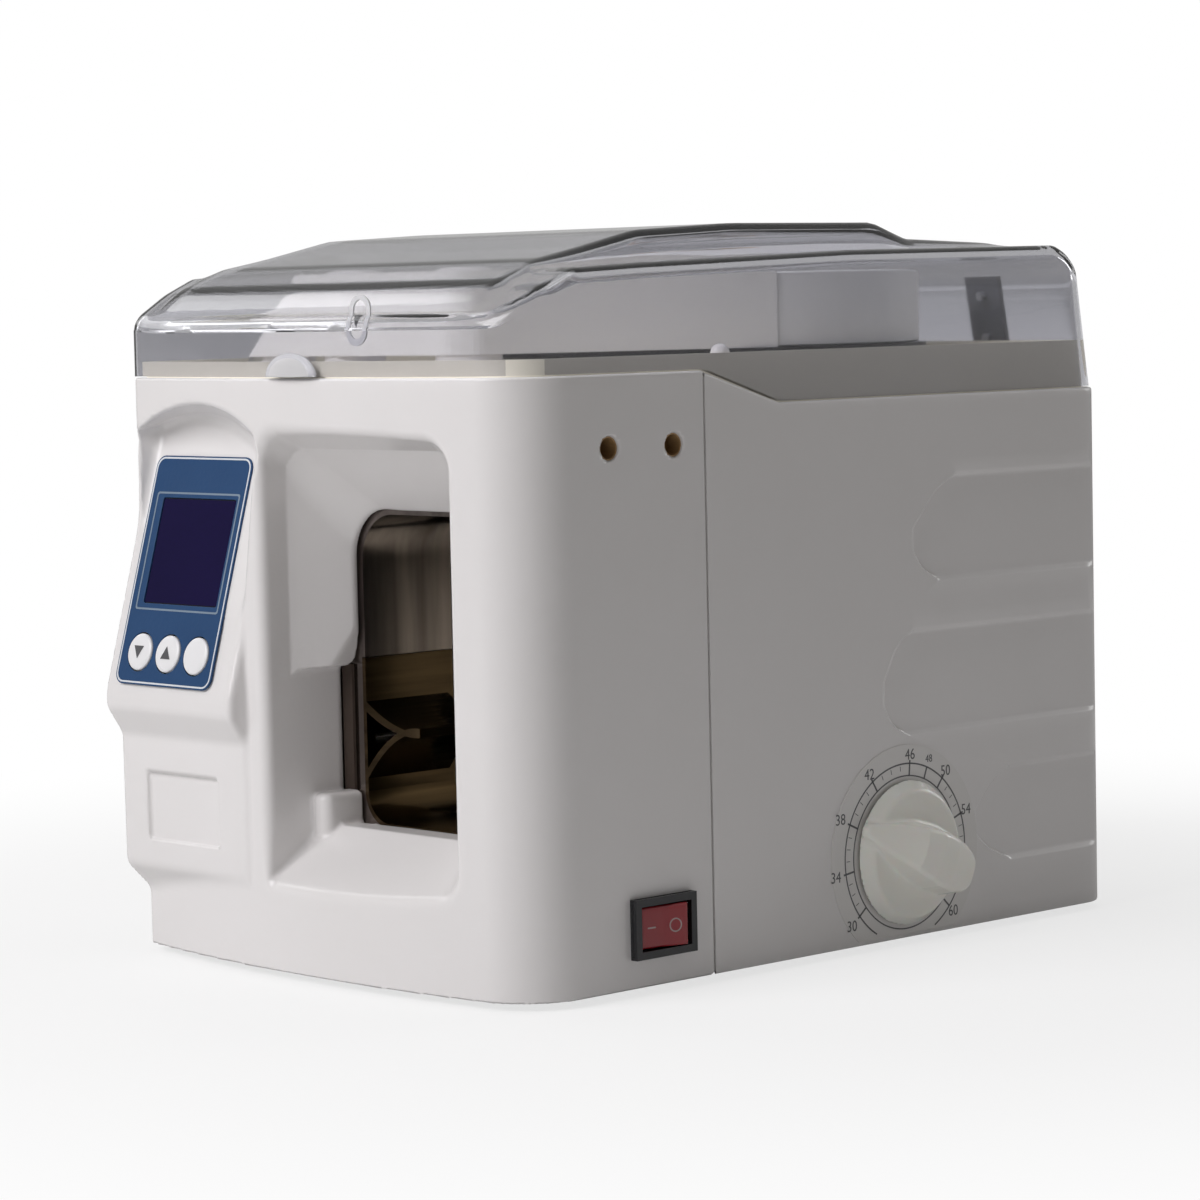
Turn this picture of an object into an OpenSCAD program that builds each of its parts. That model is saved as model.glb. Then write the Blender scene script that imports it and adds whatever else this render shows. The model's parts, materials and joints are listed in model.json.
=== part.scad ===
// Banknote strapping machine: a bundle goes into the bay, a paper tape loops round it.
// Frame of the source: X across (0 in the middle), Y from the front plane to the back, Z up
// from the lower edge of the housings. The last lines move it all to the origin at the middle
// of the bounding box's underside.

/* [Housing] */
// Width of the housing
body_w = 154; // [150:1:170]
// Depth from the front plane to the back wall
body_d = 218; // [214:1:240]
// Height of the front housing
front_h = 151.5; // [150:0.5:158]
// Height of the rear housing's side walls
rear_h = 142.7; // [140:0.1:146]
// Distance from the front plane to the seam between the two housings
seam_y = 61; // [60:0.5:66]
// Distance from the front plane to where the sloping shoulder ends
shoulder_y = 88; // [80:1:100]
// Wall thickness of the housings
wall = 2.5; // [2:0.1:3]
// How far the front face bulges past the front plane
bow = 7.6; // [5:0.1:9]
// Radius of that bulge, seen from above
bow_r = 415; // [400:5:600]
// Radius of the front right corner
right_r = 15; // [10:0.5:18]
// Radius of the front left corner
left_r = 6; // [5.5:0.5:9]
// Radius of the two rear corners
rear_r = 10; // [8:0.5:14]
// Gap between the housings at their seam
seam_gap = 0.2; // [0.1:0.05:0.4]
// Depth of the grip panels in the side walls
grip_depth = 1; // [0.5:0.1:1.4]
// Diameter of the two holes in the right side wall
side_hole_d = 6; // [4:0.5:8]
// Distance between those holes
side_hole_pitch = 22; // [18:0.5:26]

/* [Base] */
// Thickness of the steel base plate
base_t = 1.5; // [1:0.1:2]
// Height of the base plate's underside above the housing's lower edge
base_z = 1; // [0.5:0.1:2]
// How far the rubber feet stand out below the housing
foot_out = 2; // [1.5:0.1:5]
// Radius of a foot
foot_r = 7; // [6:0.5:9]
// Distance between the feet across the machine
foot_pitch_x = 116; // [100:1:124]
// Distance between the feet from front to back
foot_pitch_y = 178; // [160:1:184]
// Radius of the screws' shanks
screw_r = 1.5; // [1.2:0.1:1.7]
// Radius of a screw boss inside the housings
boss_r = 4; // [3.4:0.1:4.4]

/* [Console] */
// Width of the console column
console_w = 53.5; // [52:0.5:56]
// Height of the column's nose
nose_z = 66.4; // [64:0.2:68]
// How far the nose stands out from the front plane
nose_out = 12.3; // [11:0.1:14]
// Tilt of the console face from the vertical
tilt = 16; // [12:0.5:18]
// Width of the printed overlay
overlay_w = 40.5; // [39:0.5:43]
// Height of the printed overlay, along the slope
overlay_h = 61.8; // [60:0.2:64]
// Thickness of the printed overlay
overlay_t = 0.5; // [0.3:0.05:0.8]
// Width of the display window
lcd_w = 31; // [26:0.5:33]
// Height of the display window, along the slope
lcd_h = 28.6; // [24:0.2:30]
// Diameter of a key
key_d = 11; // [9:0.5:11.4]
// Distance between two keys
key_pitch = 11.9; // [11.7:0.1:13]
// Travel of a key
key_travel = 0.6; // [0.3:0.1:1]

/* [Note bay] */
// Distance from the left side to the bay
bay_x = 61; // [59:0.5:63]
// Width of the bay's mouth
bay_w = 70; // [67:0.5:72]
// Height of the mouth's sill
bay_z = 22; // [20:0.5:25]
// Height of the mouth's top edge
bay_top = 138; // [134:0.5:140]
// Corner radius of the mouth
bay_r = 6; // [4:0.5:9]
// Width of the throat that the bundle goes into
throat_w = 54; // [50:0.5:56]
// Height of the throat's floor
throat_z = 36; // [34:0.5:38]
// Height of the throat
throat_h = 80; // [76:0.5:84]
// Distance from the front plane to the throat's front edge
throat_y = 20.2; // [19:0.2:22]
// Sheet thickness of the steel throat lining
liner_t = 1.2; // [0.8:0.1:1.6]
// Height of the joint between the lining's two halves
split_z = 78.7; // [76:0.1:82]
// How far the steel nose reaches into the throat
lip_reach = 20.8; // [16:0.2:24]

/* [Cover] */
// Wall thickness of the clear cover
cover_t = 2; // [1.6:0.1:2.4]
// Gap under the cover's edge
cover_gap = 0.4; // [0.35:0.05:0.6]
// Height of the cover's raised pad above the front housing's top
cover_top = 37; // [35.5:0.5:42.5]
// Distance from the cover's side to the raised pad
pad_inset = 15; // [12:0.5:20]
// Distance of the hinge axis behind the back wall
hinge_out = 4; // [3.8:0.1:6]
// Radius of a hinge pin
hinge_pin_r = 1.5; // [1.2:0.1:1.8]
// Radius of a hinge knuckle
knuckle_r = 3.4; // [3:0.1:3.7]
// Width of a hinge leaf
leaf_w = 12; // [9:0.5:16]
// Distance between the two hinges
hinge_pitch = 76; // [60:1:100]

/* [Tape] */
// Width of the paper tape
tape_w = 20; // [18:0.5:21]
// Thickness of the tape where it runs
tape_t = 0.3; // [0.2:0.05:0.4]
// Radius of the full roll
roll_r = 62; // [50:1:64]
// Radius of the roll's core
core_r = 20; // [17:0.5:26]
// Thickness of the core's cardboard
core_t = 2; // [1.5:0.25:4]
// Thickness of the reel plate
reel_t = 2; // [1.5:0.1:2.5]
// Radius of the spindle
spindle_r = 4; // [3:0.25:6]
// Distance from the back wall to the reel's spindle
reel_y = 85; // [78:0.5:86]
// Radius of a guide roller
guide_r = 8; // [6:0.25:8.5]
// Radius of the slanted turn bar
bar_r = 2.5; // [2:0.1:3]
// Distance from the front plane to the tape's loop
tape_y = 34; // [33:0.25:35]

/* [Band position] */
// Distance from the loop to the bundle's end, at the middle mark
stop_rest = 38; // [36:0.5:40]
// Radius of the knob
knob_r = 17; // [14:0.5:19]
// How far the knob's grip stands out of the side
knob_out = 18; // [14:0.5:22]
// Distance from the front plane to the knob's axis
knob_y = 132.3; // [130:0.1:136]
// Height of the knob's axis
knob_z = 22.8; // [22:0.1:24]
// Radius of the knob's shaft
shaft_r = 3; // [2.5:0.1:3.2]
// Teeth of the pinion on that shaft
pinion_n = 13; // [12:1:14]
// Radius of the two guide rods
rod_r = 2.5; // [2:0.1:2.7]
// Distance between the guide rods
rod_pitch = 24; // [20:0.5:28]

/* [Tape head] */
// Module of the gears
gear_m = 1; // [0.9:0.05:1]
// Radius of the driven feed roller
feed_r = 10; // [8:0.25:11]
// Radius of the pinch roller
pinch_r = 6; // [5:0.25:6.5]
// Height of the feed roller's axis
feed_z = 105; // [104:0.5:110]
// Teeth of the feed gear
feed_n = 30; // [28:1:31]
// Teeth of a motor pinion
motor_n = 12; // [12:1:13]
// Height of the tape where it enters the throat's nose
seal_z = 57.5; // [57:0.25:58]
// Height of the camshaft's axis
cam_z = 40; // [39.5:0.25:40.5]
// Teeth of the camshaft's gear
cam_n = 22; // [20:1:22]
// Thickness of the two steel frame plates
plate_t = 2; // [1.5:0.1:2.5]
// Distance between the frame plates
plate_gap = 26; // [25:0.5:28]

/* [Power switch] */
// Width of the switch's bezel
switch_w = 21; // [19:0.5:23]
// Height of the switch's bezel
switch_h = 15; // [14:0.5:16]
// Distance from the front plane to the switch
switch_y = 42; // [40:0.5:43]
// Height of the switch's centre
switch_z = 14.9; // [14:0.1:17]
// Half of the rocker's swing
rocker_half = 10; // [6:0.5:11]

/* [Hidden] */

$fn = 64;
eps = 0.01;
fit = 0.05;                         // radial clearance of everything that turns
snug = 0.02;                        // clearance of what is pressed or screwed together
air = 0.3;                          // least gap between pieces that move apart
plastic = "#e9e6e4";
ivory = "#e6e0cf";
steel = "#8d8a86";
dark_steel = "#4a4541";
brass = "#b59a5b";
black = "#202022";

half_w = body_w / 2;
left_x = -half_w;
bow_cy = bow_r - bow;               // centre of the bulge, behind the front plane
deck_z = front_h - 1.5;             // top face of the deck's floor
deck_t = 2;
curb_h = 5.7;                       // the curb round the deck
curb_t = 2.5;
curb_back = 7;                      // the curb stops this far before the back wall
tray_inset = wall + 0.1;
thumb_out = 2.4;                    // how far the cover's thumb tab stands out
crease_z = front_h + 15.5;          // where the cover's front wall turns into its slope
pad_z = front_h + cover_top;        // top of the raised pad
rim_z = pad_z - 6.8;                // the cover's top beside the pad

// Console: a frame on its tilted face, origin at the nose's left end
face_z = 70;
face_y = -nose_out;
overlay_x = 4.5;
overlay_z = 1.25;
lcd_x = overlay_x + 5.8;
lcd_z = overlay_z + 21.85;
key_x = overlay_x + 8.7;
key_z = overlay_z + 8.75;
pocket_x = 3;                       // left side of the pocket round the console face
key_proud = 0.5;
board_y = wall + 4.4;
key_switch_h = 1.2;
key_len = overlay_t + key_proud + board_y - key_switch_h - key_travel - 0.1;

throat_x = left_x + bay_x + 8;      // left side of the throat
throat_cx = throat_x + throat_w / 2;
throat_top = throat_z + throat_h;
throat_r_top = 12;
throat_r_low = 8;
plate_y = throat_y;                 // front face of the front frame plate
rear_plate_y = plate_y + plate_gap + plate_t;
gear_y = rear_plate_y + plate_t + 0.8;
gear_w = 5.5;
gear_plate_y = gear_y + gear_w + 1;
liner_end = rear_plate_y + plate_t;
plate_x0 = left_x + 6;
plate_x1 = throat_x + throat_w + 6;
plate_top = throat_top + 9;
floor_z = base_z + base_t;          // top face of the base plate

spindle_y = body_d - reel_y;
reel_z = deck_z + 4.3;              // underside of the reel plate
roll_z = reel_z + reel_t;
hub_r = core_r - core_t - 0.2;
bar_turn = bar_r + tape_t / 2 + 0.1;          // radius of the tape's middle on the bar
lane_y = tape_y - 2 * bar_turn;     // the tape's front run, before the turn bar
bar_y = tape_y - bar_turn;
bar_x = left_x + 21;                // the tape drops here
bar_shift = PI * bar_turn / sqrt(2);          // the half turn moves the tape this far along X
bar_z = roll_z + tape_w / 2;        // middle of the front run
bar_len = sqrt(2) * (tape_w + bar_shift + 2);
right_roller_x = 16;
left_roller_x = bar_x + 28;
roller_y = lane_y + tape_t / 2 + air + guide_r;
roller_z = deck_z + 4.2;

pinion_r = gear_m * pinion_n / 2;
rack_z = knob_z + pinion_r;         // the rack's pitch line
rack_w = 6;
stop_y = tape_y + stop_rest;
stop_t = 2;
carriage_l = 22;
carriage_z = rack_z - 2.8;
carriage_h = 7;
rod_z = rack_z + 0.7;
bed_z = throat_z - 1.8;
bed_t = 1.6;
bed_end = stop_y + 40;
rod_end_y = knob_y + 42;

feed_x = bar_x + air + feed_r;
pinch_x = bar_x - air - pinch_r;
feed_motor_z = feed_z - gear_m * (feed_n + motor_n) / 2;
pressure = 25;                      // pressure angle of every gear
backlash = 0.2;
cam_motor_z = cam_z - gear_m * (cam_n + motor_n + 2) / 2;
cam_pinion_n = motor_n + 2;
cam_y = plate_y + plate_t + plate_gap / 2;
cam_x0 = left_x + 11;               // left end of the camshaft
cheek_left = cam_x0 + 5.5;
cheek_t = 2;
cheek_right = throat_x - liner_t - 2.2 - cheek_t;
cam_r = 5;
lobe_r = 2.5;
lobe_off = 4.7;
slide_rest = cam_z + lobe_off + lobe_r + air;   // underside of the lifted followers
slide_top = seal_z - 0.6;

knob_x = half_w + 1;                // back of the knob
scale_r = 28.5;
rest_mark = 156;                    // where the knob points at rest, round from the back
switch_body_w = switch_w - 2.2;
switch_body_h = switch_h - 2.2;
well_w = switch_body_w - 1.6;
well_h = switch_body_h - 1.6;
pivot_x = half_w - 3;
switch_in = 16;                     // depth of the switch's body inside the wall
switch_back = half_w - switch_in - 7;   // ends of its tabs

hinge_y = body_d + hinge_out;
hinge_z = rear_h + 3.3;
inlet_x = left_x + 37;
inlet_z = 26;

// The whole model's box, for the last shift
box_x0 = left_x;
box_x1 = knob_x + knob_out;
box_y0 = face_y + overlay_z * sin(tilt) - (overlay_t + snug) * cos(tilt);
box_y1 = hinge_y + knuckle_r;

// ---------- plan outline ----------

function corner_y(r) = bow_cy - sqrt(pow(bow_r - r, 2) - pow(half_w - r, 2));

// Plan of the housing, drawn in by `inset`: a bulging front, round corners, flat sides.
module plan(inset) {
    right = [half_w - right_r, corner_y(right_r)];
    left = [-half_w + left_r, corner_y(left_r)];
    hub = [0, bow_cy];
    right_out = hub + (right - hub) * (bow_r + 5) / (bow_r - right_r);
    left_out = hub + (left - hub) * (bow_r + 5) / (bow_r - left_r);
    back = body_d - rear_r;
    intersection() {
        translate(hub) circle(r = bow_r - inset, $fn = 360);
        polygon([[-half_w + inset, back], [-half_w + inset, left[1]], left, left_out,
            right_out, right, [half_w - inset, right[1]], [half_w - inset, back]]);
    }
    translate(right) circle(r = right_r - inset);
    translate(left) circle(r = left_r - inset);
    translate([-half_w + rear_r, back - eps])
        square([body_w - 2 * rear_r, rear_r - inset + eps]);
    for (side = [-1, 1])
        translate([side * (half_w - rear_r), back]) circle(r = rear_r - inset);
}

// A slab of the plan between two heights
module slab(inset, z0, z1) {
    translate([0, 0, z0]) linear_extrude(z1 - z0) plan(inset);
}

// Everything between two depths
module between(y0, y1) {
    translate([-body_w, y0, -50]) cube([2 * body_w, y1 - y0, 300]);
}

// Extrudes a side view, drawn as [y, z], from x0 to x1
module side_view(x0, x1) {
    translate([x0, 0, 0]) rotate([90, 0, 90]) linear_extrude(x1 - x0) children();
}

// Extrudes a front view, drawn as [x, z], from y0 to y1
module front_view(y0, y1) {
    translate([0, y1, 0]) rotate([90, 0, 0]) linear_extrude(y1 - y0) children();
}

module rod_y(x, z, r, y0, y1) {
    translate([x, y1, z]) rotate([90, 0, 0]) cylinder(r = r, h = y1 - y0);
}

module rod_x(y, z, r, x0, x1) {
    translate([x0, y, z]) rotate([0, 90, 0]) cylinder(r = r, h = x1 - x0);
}

// Involute spur gear, a tooth on the +X side
function involute(a) = tan(a) * 180 / PI - a;
function flank(m, n, r) = 90 / n - backlash / (2 * m * n) * 180 / PI + involute(pressure)
    - involute(acos(min(1, m * n / 2 * cos(pressure) / r)));
module gear_shape(m, n) {
    base = m * n / 2 * cos(pressure);
    root = m * (n / 2 - 1.25);
    radii = [root, max(base, root + 0.05), m * n / 2, m * (n / 2 + 0.55), m * (n / 2 + 1)];
    last = len(radii) - 1;
    polygon([for (k = [0:n - 1]) each concat(
        [for (i = [0:last]) let (a = 360 * k / n - flank(m, n, radii[i]))
            radii[i] * [cos(a), sin(a)]],
        [for (i = [0:last]) let (j = last - i, a = 360 * k / n + flank(m, n, radii[j]))
            radii[j] * [cos(a), sin(a)]])]);
}

// ---------- housings ----------

module column_profile() {
    polygon([[8, 15.5], [-1.7, 15.5], [-6.4, 22.8], [-7.5, nose_z - 12.5],
        [-nose_out, nose_z], [-nose_out + 0.6, face_z + 1], [-7, nose_z + 24],
        [-5.4, nose_z + 40], [-3.7, nose_z + 52.6], [-1.1, nose_z + 68.6],
        [2.4, front_h - 2], [8, front_h - 2]]);
}

module on_console() {
    translate([left_x, face_y, face_z]) rotate([-tilt, 0, 0]) children();
}

// The pocket's outline in the front view: straight sides under a low arch
module pocket_outline(grow) {
    intersection() {
        translate([left_x + pocket_x - grow, face_z - 12])
            square([console_w - 2 * pocket_x + 2 * grow, 100]);
        union() {
            translate([left_x + console_w / 2 - 0.5, face_z + 42]) circle(r = 32.8 + grow);
            translate([left_x, 0]) square([console_w, face_z + 42]);
        }
    }
}

// Everything in front of the tilted console face, moved back by `back`
module before_face(back) {
    on_console() translate([-10, -60 + back, -30]) cube([90, 60, 140]);
}

module skin_solid() {
    slab(0, 0, front_h);
    side_view(left_x, left_x + console_w) column_profile();
}

module rounded_rect(x, z, w, h, r_top, r_low) {
    for (i = [0, 1]) {
        translate([x + r_low + i * (w - 2 * r_low), z + r_low]) circle(r = r_low);
        translate([x + r_top + i * (w - 2 * r_top), z + h - r_top]) circle(r = r_top);
    }
    translate([x + r_low, z]) square([w - 2 * r_low, h / 2]);
    translate([x + r_top, z + h / 2]) square([w - 2 * r_top, h / 2]);
    translate([x, z + r_low]) square([w, h - r_low - r_top]);
}

// The tapering mouth, larger by `grow`
module funnel(grow, y0, y1) {
    hull() {
        front_view(y0, y0 + eps)
            rounded_rect(left_x + bay_x - grow, bay_z - grow, bay_w + 2 * grow,
                bay_top - bay_z + 2 * grow, bay_r, bay_r, $fn = 32);
        front_view(y1 - eps, y1)
            rounded_rect(throat_x - grow, throat_z - grow, throat_w + 2 * grow,
                throat_h + 2 * grow, throat_r_top, throat_r_low, $fn = 32);
    }
}

// Finger room at the lower left of the mouth, straight back to the frame plate
module finger_room(grow, y0, y1) {
    translate([left_x + bay_x - grow, y0, bay_z + 5 - grow])
        cube([throat_x - left_x - bay_x + 4, y1 - y0, split_z - bay_z - 7 + 2 * grow]);
}

module boss_column(x, y, z0, z1) {
    translate([x, y, z0]) difference() {
        cylinder(r = boss_r, h = z1 - z0);
        translate([0, 0, -eps]) cylinder(r = screw_r - 0.2, h = z1 - z0 - 2);
    }
}

boss_x = half_w - wall - boss_r + 1;
boss_y = [seam_y - boss_r - 0.4, seam_y + boss_r + 10, body_d - 24];

module front_housing() {
    color(plastic) difference() {
        union() {
            difference() {
                intersection() {
                    union() {
                        difference() {
                            skin_solid();
                            slab(wall, -1, front_h + 1);
                            // the column is hollow
                            side_view(left_x + wall, left_x + console_w - wall)
                                intersection() {
                                    translate([wall, 0]) column_profile();
                                    translate([-30, 15.5 + wall])
                                        square([40, front_h - 20 - wall]);
                                }
                        }
                        intersection() {
                            skin_solid();
                            front_view(-40, 40) pocket_outline(wall);
                            difference() {
                                before_face(wall);
                                before_face(-60);
                            }
                            translate([left_x, -30, face_z - 2]) cube([console_w, 60, 78.5]);
                        }
                        intersection() {
                            slab(0, 0, front_h);
                            union() {
                                funnel(wall, -7, plate_y - snug);
                                finger_room(wall, -7, plate_y - snug);
                            }
                        }
                    }
                    between(-40, seam_y - seam_gap / 2);
                }
                // the console pocket
                intersection() {
                    front_view(-60, 40) pocket_outline(0);
                    before_face(0);
                }
                funnel(0, -8, plate_y + eps);
                difference() {
                    finger_room(0, -8, plate_y + eps);
                    // the round finger post on the floor stays
                    translate([left_x + bay_x + 6, 13.5, bay_z])
                        cylinder(r = 5.5, h = throat_z - bay_z + 8);
                }
            }
            for (side = [-1, 1])
                boss_column(side * boss_x, boss_y[0], floor_z, floor_z + 11);
        }
        // blank recess on the column's lower block
        side_view(left_x + 8.5, left_x + 38)
            polygon([[-20, 24], [-5.65, 24], [-6.4, 46], [-20, 46]]);
        // display window and key holes
        on_console() {
            translate([lcd_x - 0.5, -2, lcd_z - 0.5]) cube([lcd_w + 1, 12, lcd_h + 1]);
            for (k = [0:2])
                translate([key_x + k * key_pitch, 12, key_z])
                    rotate([90, 0, 0]) cylinder(d = key_d + 2 * air, h = 20);
        }
        // switch cut-out and the two side holes
        translate([half_w - wall - 1, switch_y - switch_body_w / 2 - snug,
            switch_z - switch_body_h / 2 - snug])
            cube([wall + 2, switch_body_w + 2 * snug, switch_body_h + 2 * snug]);
        for (k = [0, 1])
            rod_x(28 + k * side_hole_pitch, front_h - 18, side_hole_d / 2,
                half_w - wall - 1, half_w + 1);
    }
}

// A grip panel: [depth of its lower left corner, left end, top left corner], its heights
module grip_panel(low_y, mid_y, top_y, z0, z1) {
    polygon([[low_y, z0], [mid_y, z0 + 8], [mid_y, z0 + 14], [top_y, z1],
        [body_d + 1, z1], [body_d + 1, z0]]);
}

module rear_housing() {
    color(plastic) difference() {
        union() {
            intersection() {
                difference() {
                    slab(0, 0, front_h);
                    slab(wall, -1, front_h + 1);
                }
                between(seam_y + seam_gap / 2, body_d + 1);
                // the shoulder slopes down from the front housing to the side walls
                side_view(-body_w, body_w) polygon([[seam_y, 0], [seam_y, front_h - 0.4],
                    [shoulder_y, rear_h], [body_d + 1, rear_h], [body_d + 1, 0]]);
            }
            for (side = [-1, 1], k = [1, 2])
                boss_column(side * boss_x, boss_y[k], floor_z, floor_z + 11);
        }
        for (side = [-1, 1])
            side_view(side * half_w - grip_depth, side * half_w + grip_depth) {
                grip_panel(143.6, 138, 151, 94, 121.5);
                grip_panel(129.7, 125.7, 133, 54, 81);
                grip_panel(171, 161, 171.6, 16.5, 41.5);
            }
        rod_x(knob_y, knob_z, 5 + snug, half_w - wall - 1, half_w + 1);
        translate([inlet_x - 13.7, body_d - wall - 1, inlet_z - 10.2])
            cube([27.4, wall + 2, 20.4]);
        for (side = [-1, 1], dz = [-6, -14])
            rod_y(side * hinge_pitch / 2, rear_h + dz, screw_r + snug, body_d - 9, body_d + 1);
    }
}

module base_plate() {
    color(steel) difference() {
        slab(tray_inset, base_z, floor_z);
        for (side = [-1, 1]) {
            for (k = [0:2])
                translate([side * boss_x, boss_y[k], -1]) cylinder(r = screw_r + 0.1, h = 9);
            for (k = [0, 1])
                translate([side * foot_pitch_x / 2, foot_y0 + k * foot_pitch_y, -1])
                    cylinder(r = screw_r + 0.1, h = 9);
        }
    }
}

foot_y0 = (body_d - foot_pitch_y) / 2 - 2;
head_r = screw_r * 1.9;

module rubber_feet() {
    color(black)
        for (side = [-1, 1], k = [0, 1])
            translate([side * foot_pitch_x / 2, foot_y0 + k * foot_pitch_y, -foot_out])
                difference() {
                    cylinder(r1 = foot_r - 0.8, r2 = foot_r, h = foot_out + base_z);
                    translate([0, 0, -1]) cylinder(r = screw_r + 0.1, h = 9);
                    translate([0, 0, -eps]) cylinder(r = head_r + 0.2, h = 1.8 + eps);
                }
}

// A pan-head screw pointing up, its head's underside at 0
module screw(r, head_h, l) {
    translate([0, 0, -head_h]) cylinder(r = r * 1.9, h = head_h);
    cylinder(r = r, h = l);
}

module base_screws() {
    color(steel) {
        for (side = [-1, 1]) {
            for (k = [0, 1])
                translate([side * foot_pitch_x / 2, foot_y0 + k * foot_pitch_y,
                    -foot_out + 1.8])
                    screw(screw_r, 1.4, foot_out + floor_z - 0.8);
            for (k = [0:2])
                translate([side * boss_x, boss_y[k], base_z])
                    screw(screw_r - 0.2 - snug, 1, base_t + 7);
        }
    }
}

// ---------- deck and cover ----------

drop_w = tape_w + 6;

module deck_tray() {
    color(ivory) difference() {
        union() {
            intersection() {
                union() {
                    slab(tray_inset, deck_z - deck_t, deck_z);
                    difference() {
                        slab(tray_inset, deck_z - deck_t, deck_z + curb_h);
                        slab(tray_inset + curb_t, deck_z - deck_t - 1, deck_z + curb_h + 1);
                    }
                    intersection() {
                        difference() {
                            slab(tray_inset, rear_h - 3.5, deck_z);
                            slab(tray_inset + curb_t, rear_h - 5, deck_z + 1);
                        }
                        between(seam_y + 3, body_d);
                    }
                }
                between(-40, body_d - curb_back);
            }
            // the curb's rear wall, and a ledge behind it that closes the housing
            intersection() {
                slab(tray_inset + eps, rear_h - 2.5, deck_z + curb_h);
                between(body_d - curb_back - curb_t, body_d - curb_back);
            }
            intersection() {
                slab(tray_inset + eps, rear_h - 2.5, rear_h - 0.5);
                between(body_d - curb_back - curb_t, body_d);
            }
        }
        // slots for the dropping tape and the turn bar's foot, and the spindle's hole
        translate([bar_x - drop_w / 2, tape_y - 1, deck_z - 5]) cube([drop_w, 2.5, 10]);
        translate([bar_x - drop_w / 2 - 1, lane_y - 1.2, deck_z - 5])
            cube([9, tape_y - lane_y + 2.7, 10]);
        translate([0, spindle_y, deck_z - 5]) cylinder(r = spindle_r + snug, h = 10);
    }
}

// Side view of the cover's outer surface, drawn in by t; the rear wall leans forward
module cover_profile(t) {
    front = [[-20, crease_z], [2 - t * 0.2, crease_z + 1.5 - t * 0.7],
        [10, crease_z + 6.4 - t], [19, rim_z - 4.3 - t], [43, rim_z - 3.2 - t],
        [119, rim_z - 0.7 - t], [body_d - 17 - t, rim_z - t],
        [body_d - 11 - t, rim_z - 1.5 - t]];
    polygon(concat([[-20, 100]], front, [[body_d - 8.4 - t, rim_z - 5 - t],
        [body_d - 1.5 - t, rear_h + cover_gap], [body_d - 1.5 - t, 100]]));
}

module pad_profile(t) {
    polygon([[2, deck_z], [2, crease_z + 1.5 - t], [10, crease_z + 7.7 - t],
        [23.6, crease_z + 12.8 - t], [37.4, crease_z + 15.4 - t], [58.6, pad_z - 1.6 - t],
        [92, pad_z - t], [spindle_y + 17 - t, pad_z - t], [spindle_y + 23 - t, rim_z + 2.4 - t],
        [body_d - 28, rim_z + 1.2 - t], [body_d - 14 - t, rim_z - 2 - t],
        [body_d - 14 - t, deck_z]]);
}

// The space inside the cover's skin, drawn in by t
module cover_solid(t) {
    intersection() {
        slab(t, 100, 200);
        side_view(-body_w, body_w) cover_profile(t);
    }
    side_view(-half_w + pad_inset + t, half_w - pad_inset - t) pad_profile(t);
}

module top_cover() {
    color("#c9ccd2", 0.4) {
        difference() {
            cover_solid(0);
            cover_solid(cover_t);
            // the lower edge follows the housings
            side_view(-body_w, body_w) polygon([[-40, 90], [-40, front_h + cover_gap],
                [seam_y, front_h + cover_gap], [shoulder_y, rear_h + cover_gap],
                [body_d + 9, rear_h + cover_gap], [body_d + 9, 90]]);
            for (side = [-1, 1])
                hinge_screw_line(side, 0.1);
        }
        // thumb tab: a low arch on the front edge
        front_view(-bow - thumb_out, -bow + 1) intersection() {
            translate([left_x + 64.5, front_h + cover_gap - 7.6]) circle(r = 13.6);
            translate([left_x + 50, front_h + cover_gap]) square([29, 8]);
        }
        // frosted tongue inside the front wall
        front_view(-bow + 1, -bow + cover_t + 1.2) {
            translate([left_x + 91, crease_z - 2.5]) circle(r = 6);
            translate([left_x + 85, crease_z - 2.5]) square([12, 1]);
        }
    }
}

// ---------- hinge ----------

wall_lean = atan((8.4 - 1.5) / (rim_z - 5 - rear_h - cover_gap));

// A frame on the cover's leaning rear wall, at its lower edge
module on_rear_wall(side) {
    translate([side * hinge_pitch / 2, body_d - 1.5, rear_h + cover_gap])
        rotate([wall_lean, 0, 0]) children();
}

module hinge_screw_line(side, play) {
    on_rear_wall(side)
        for (z = [14, 26])
            translate([0, -cover_t - 0.4, z]) rotate([-90, 0, 0])
                cylinder(r = screw_r - 0.3 + play, h = cover_t + 1.4);
}

// A point on the leaning rear wall, as [y, z]: u up along it, w out from it
function wall_point(u, w) = [body_d - 1.5 - u * sin(wall_lean) + w * cos(wall_lean),
    rear_h + cover_gap + u * cos(wall_lean) + w * sin(wall_lean)];

leaf_t = 1.6;

// Each leaf is one pressing with its knuckle, and two screws run from it into the cover
module hinge_leaves() {
    color("#8f9296")
        for (side = [-1, 1]) {
            x0 = side * hinge_pitch / 2 - leaf_w / 2;
            difference() {
                union() {
                    side_view(x0, x0 + leaf_w) polygon([wall_point(32, snug),
                        wall_point(3, snug), [hinge_y, hinge_z],
                        [hinge_y, hinge_z + knuckle_r - 0.4], wall_point(9, leaf_t),
                        wall_point(32, leaf_t)]);
                    rod_x(hinge_y, hinge_z, knuckle_r, x0, x0 + leaf_w);
                    hinge_screw_line(side, 0);
                }
                rod_x(hinge_y, hinge_z, hinge_pin_r + fit, x0 - 1, x0 + leaf_w + 1);
            }
        }
}

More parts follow.
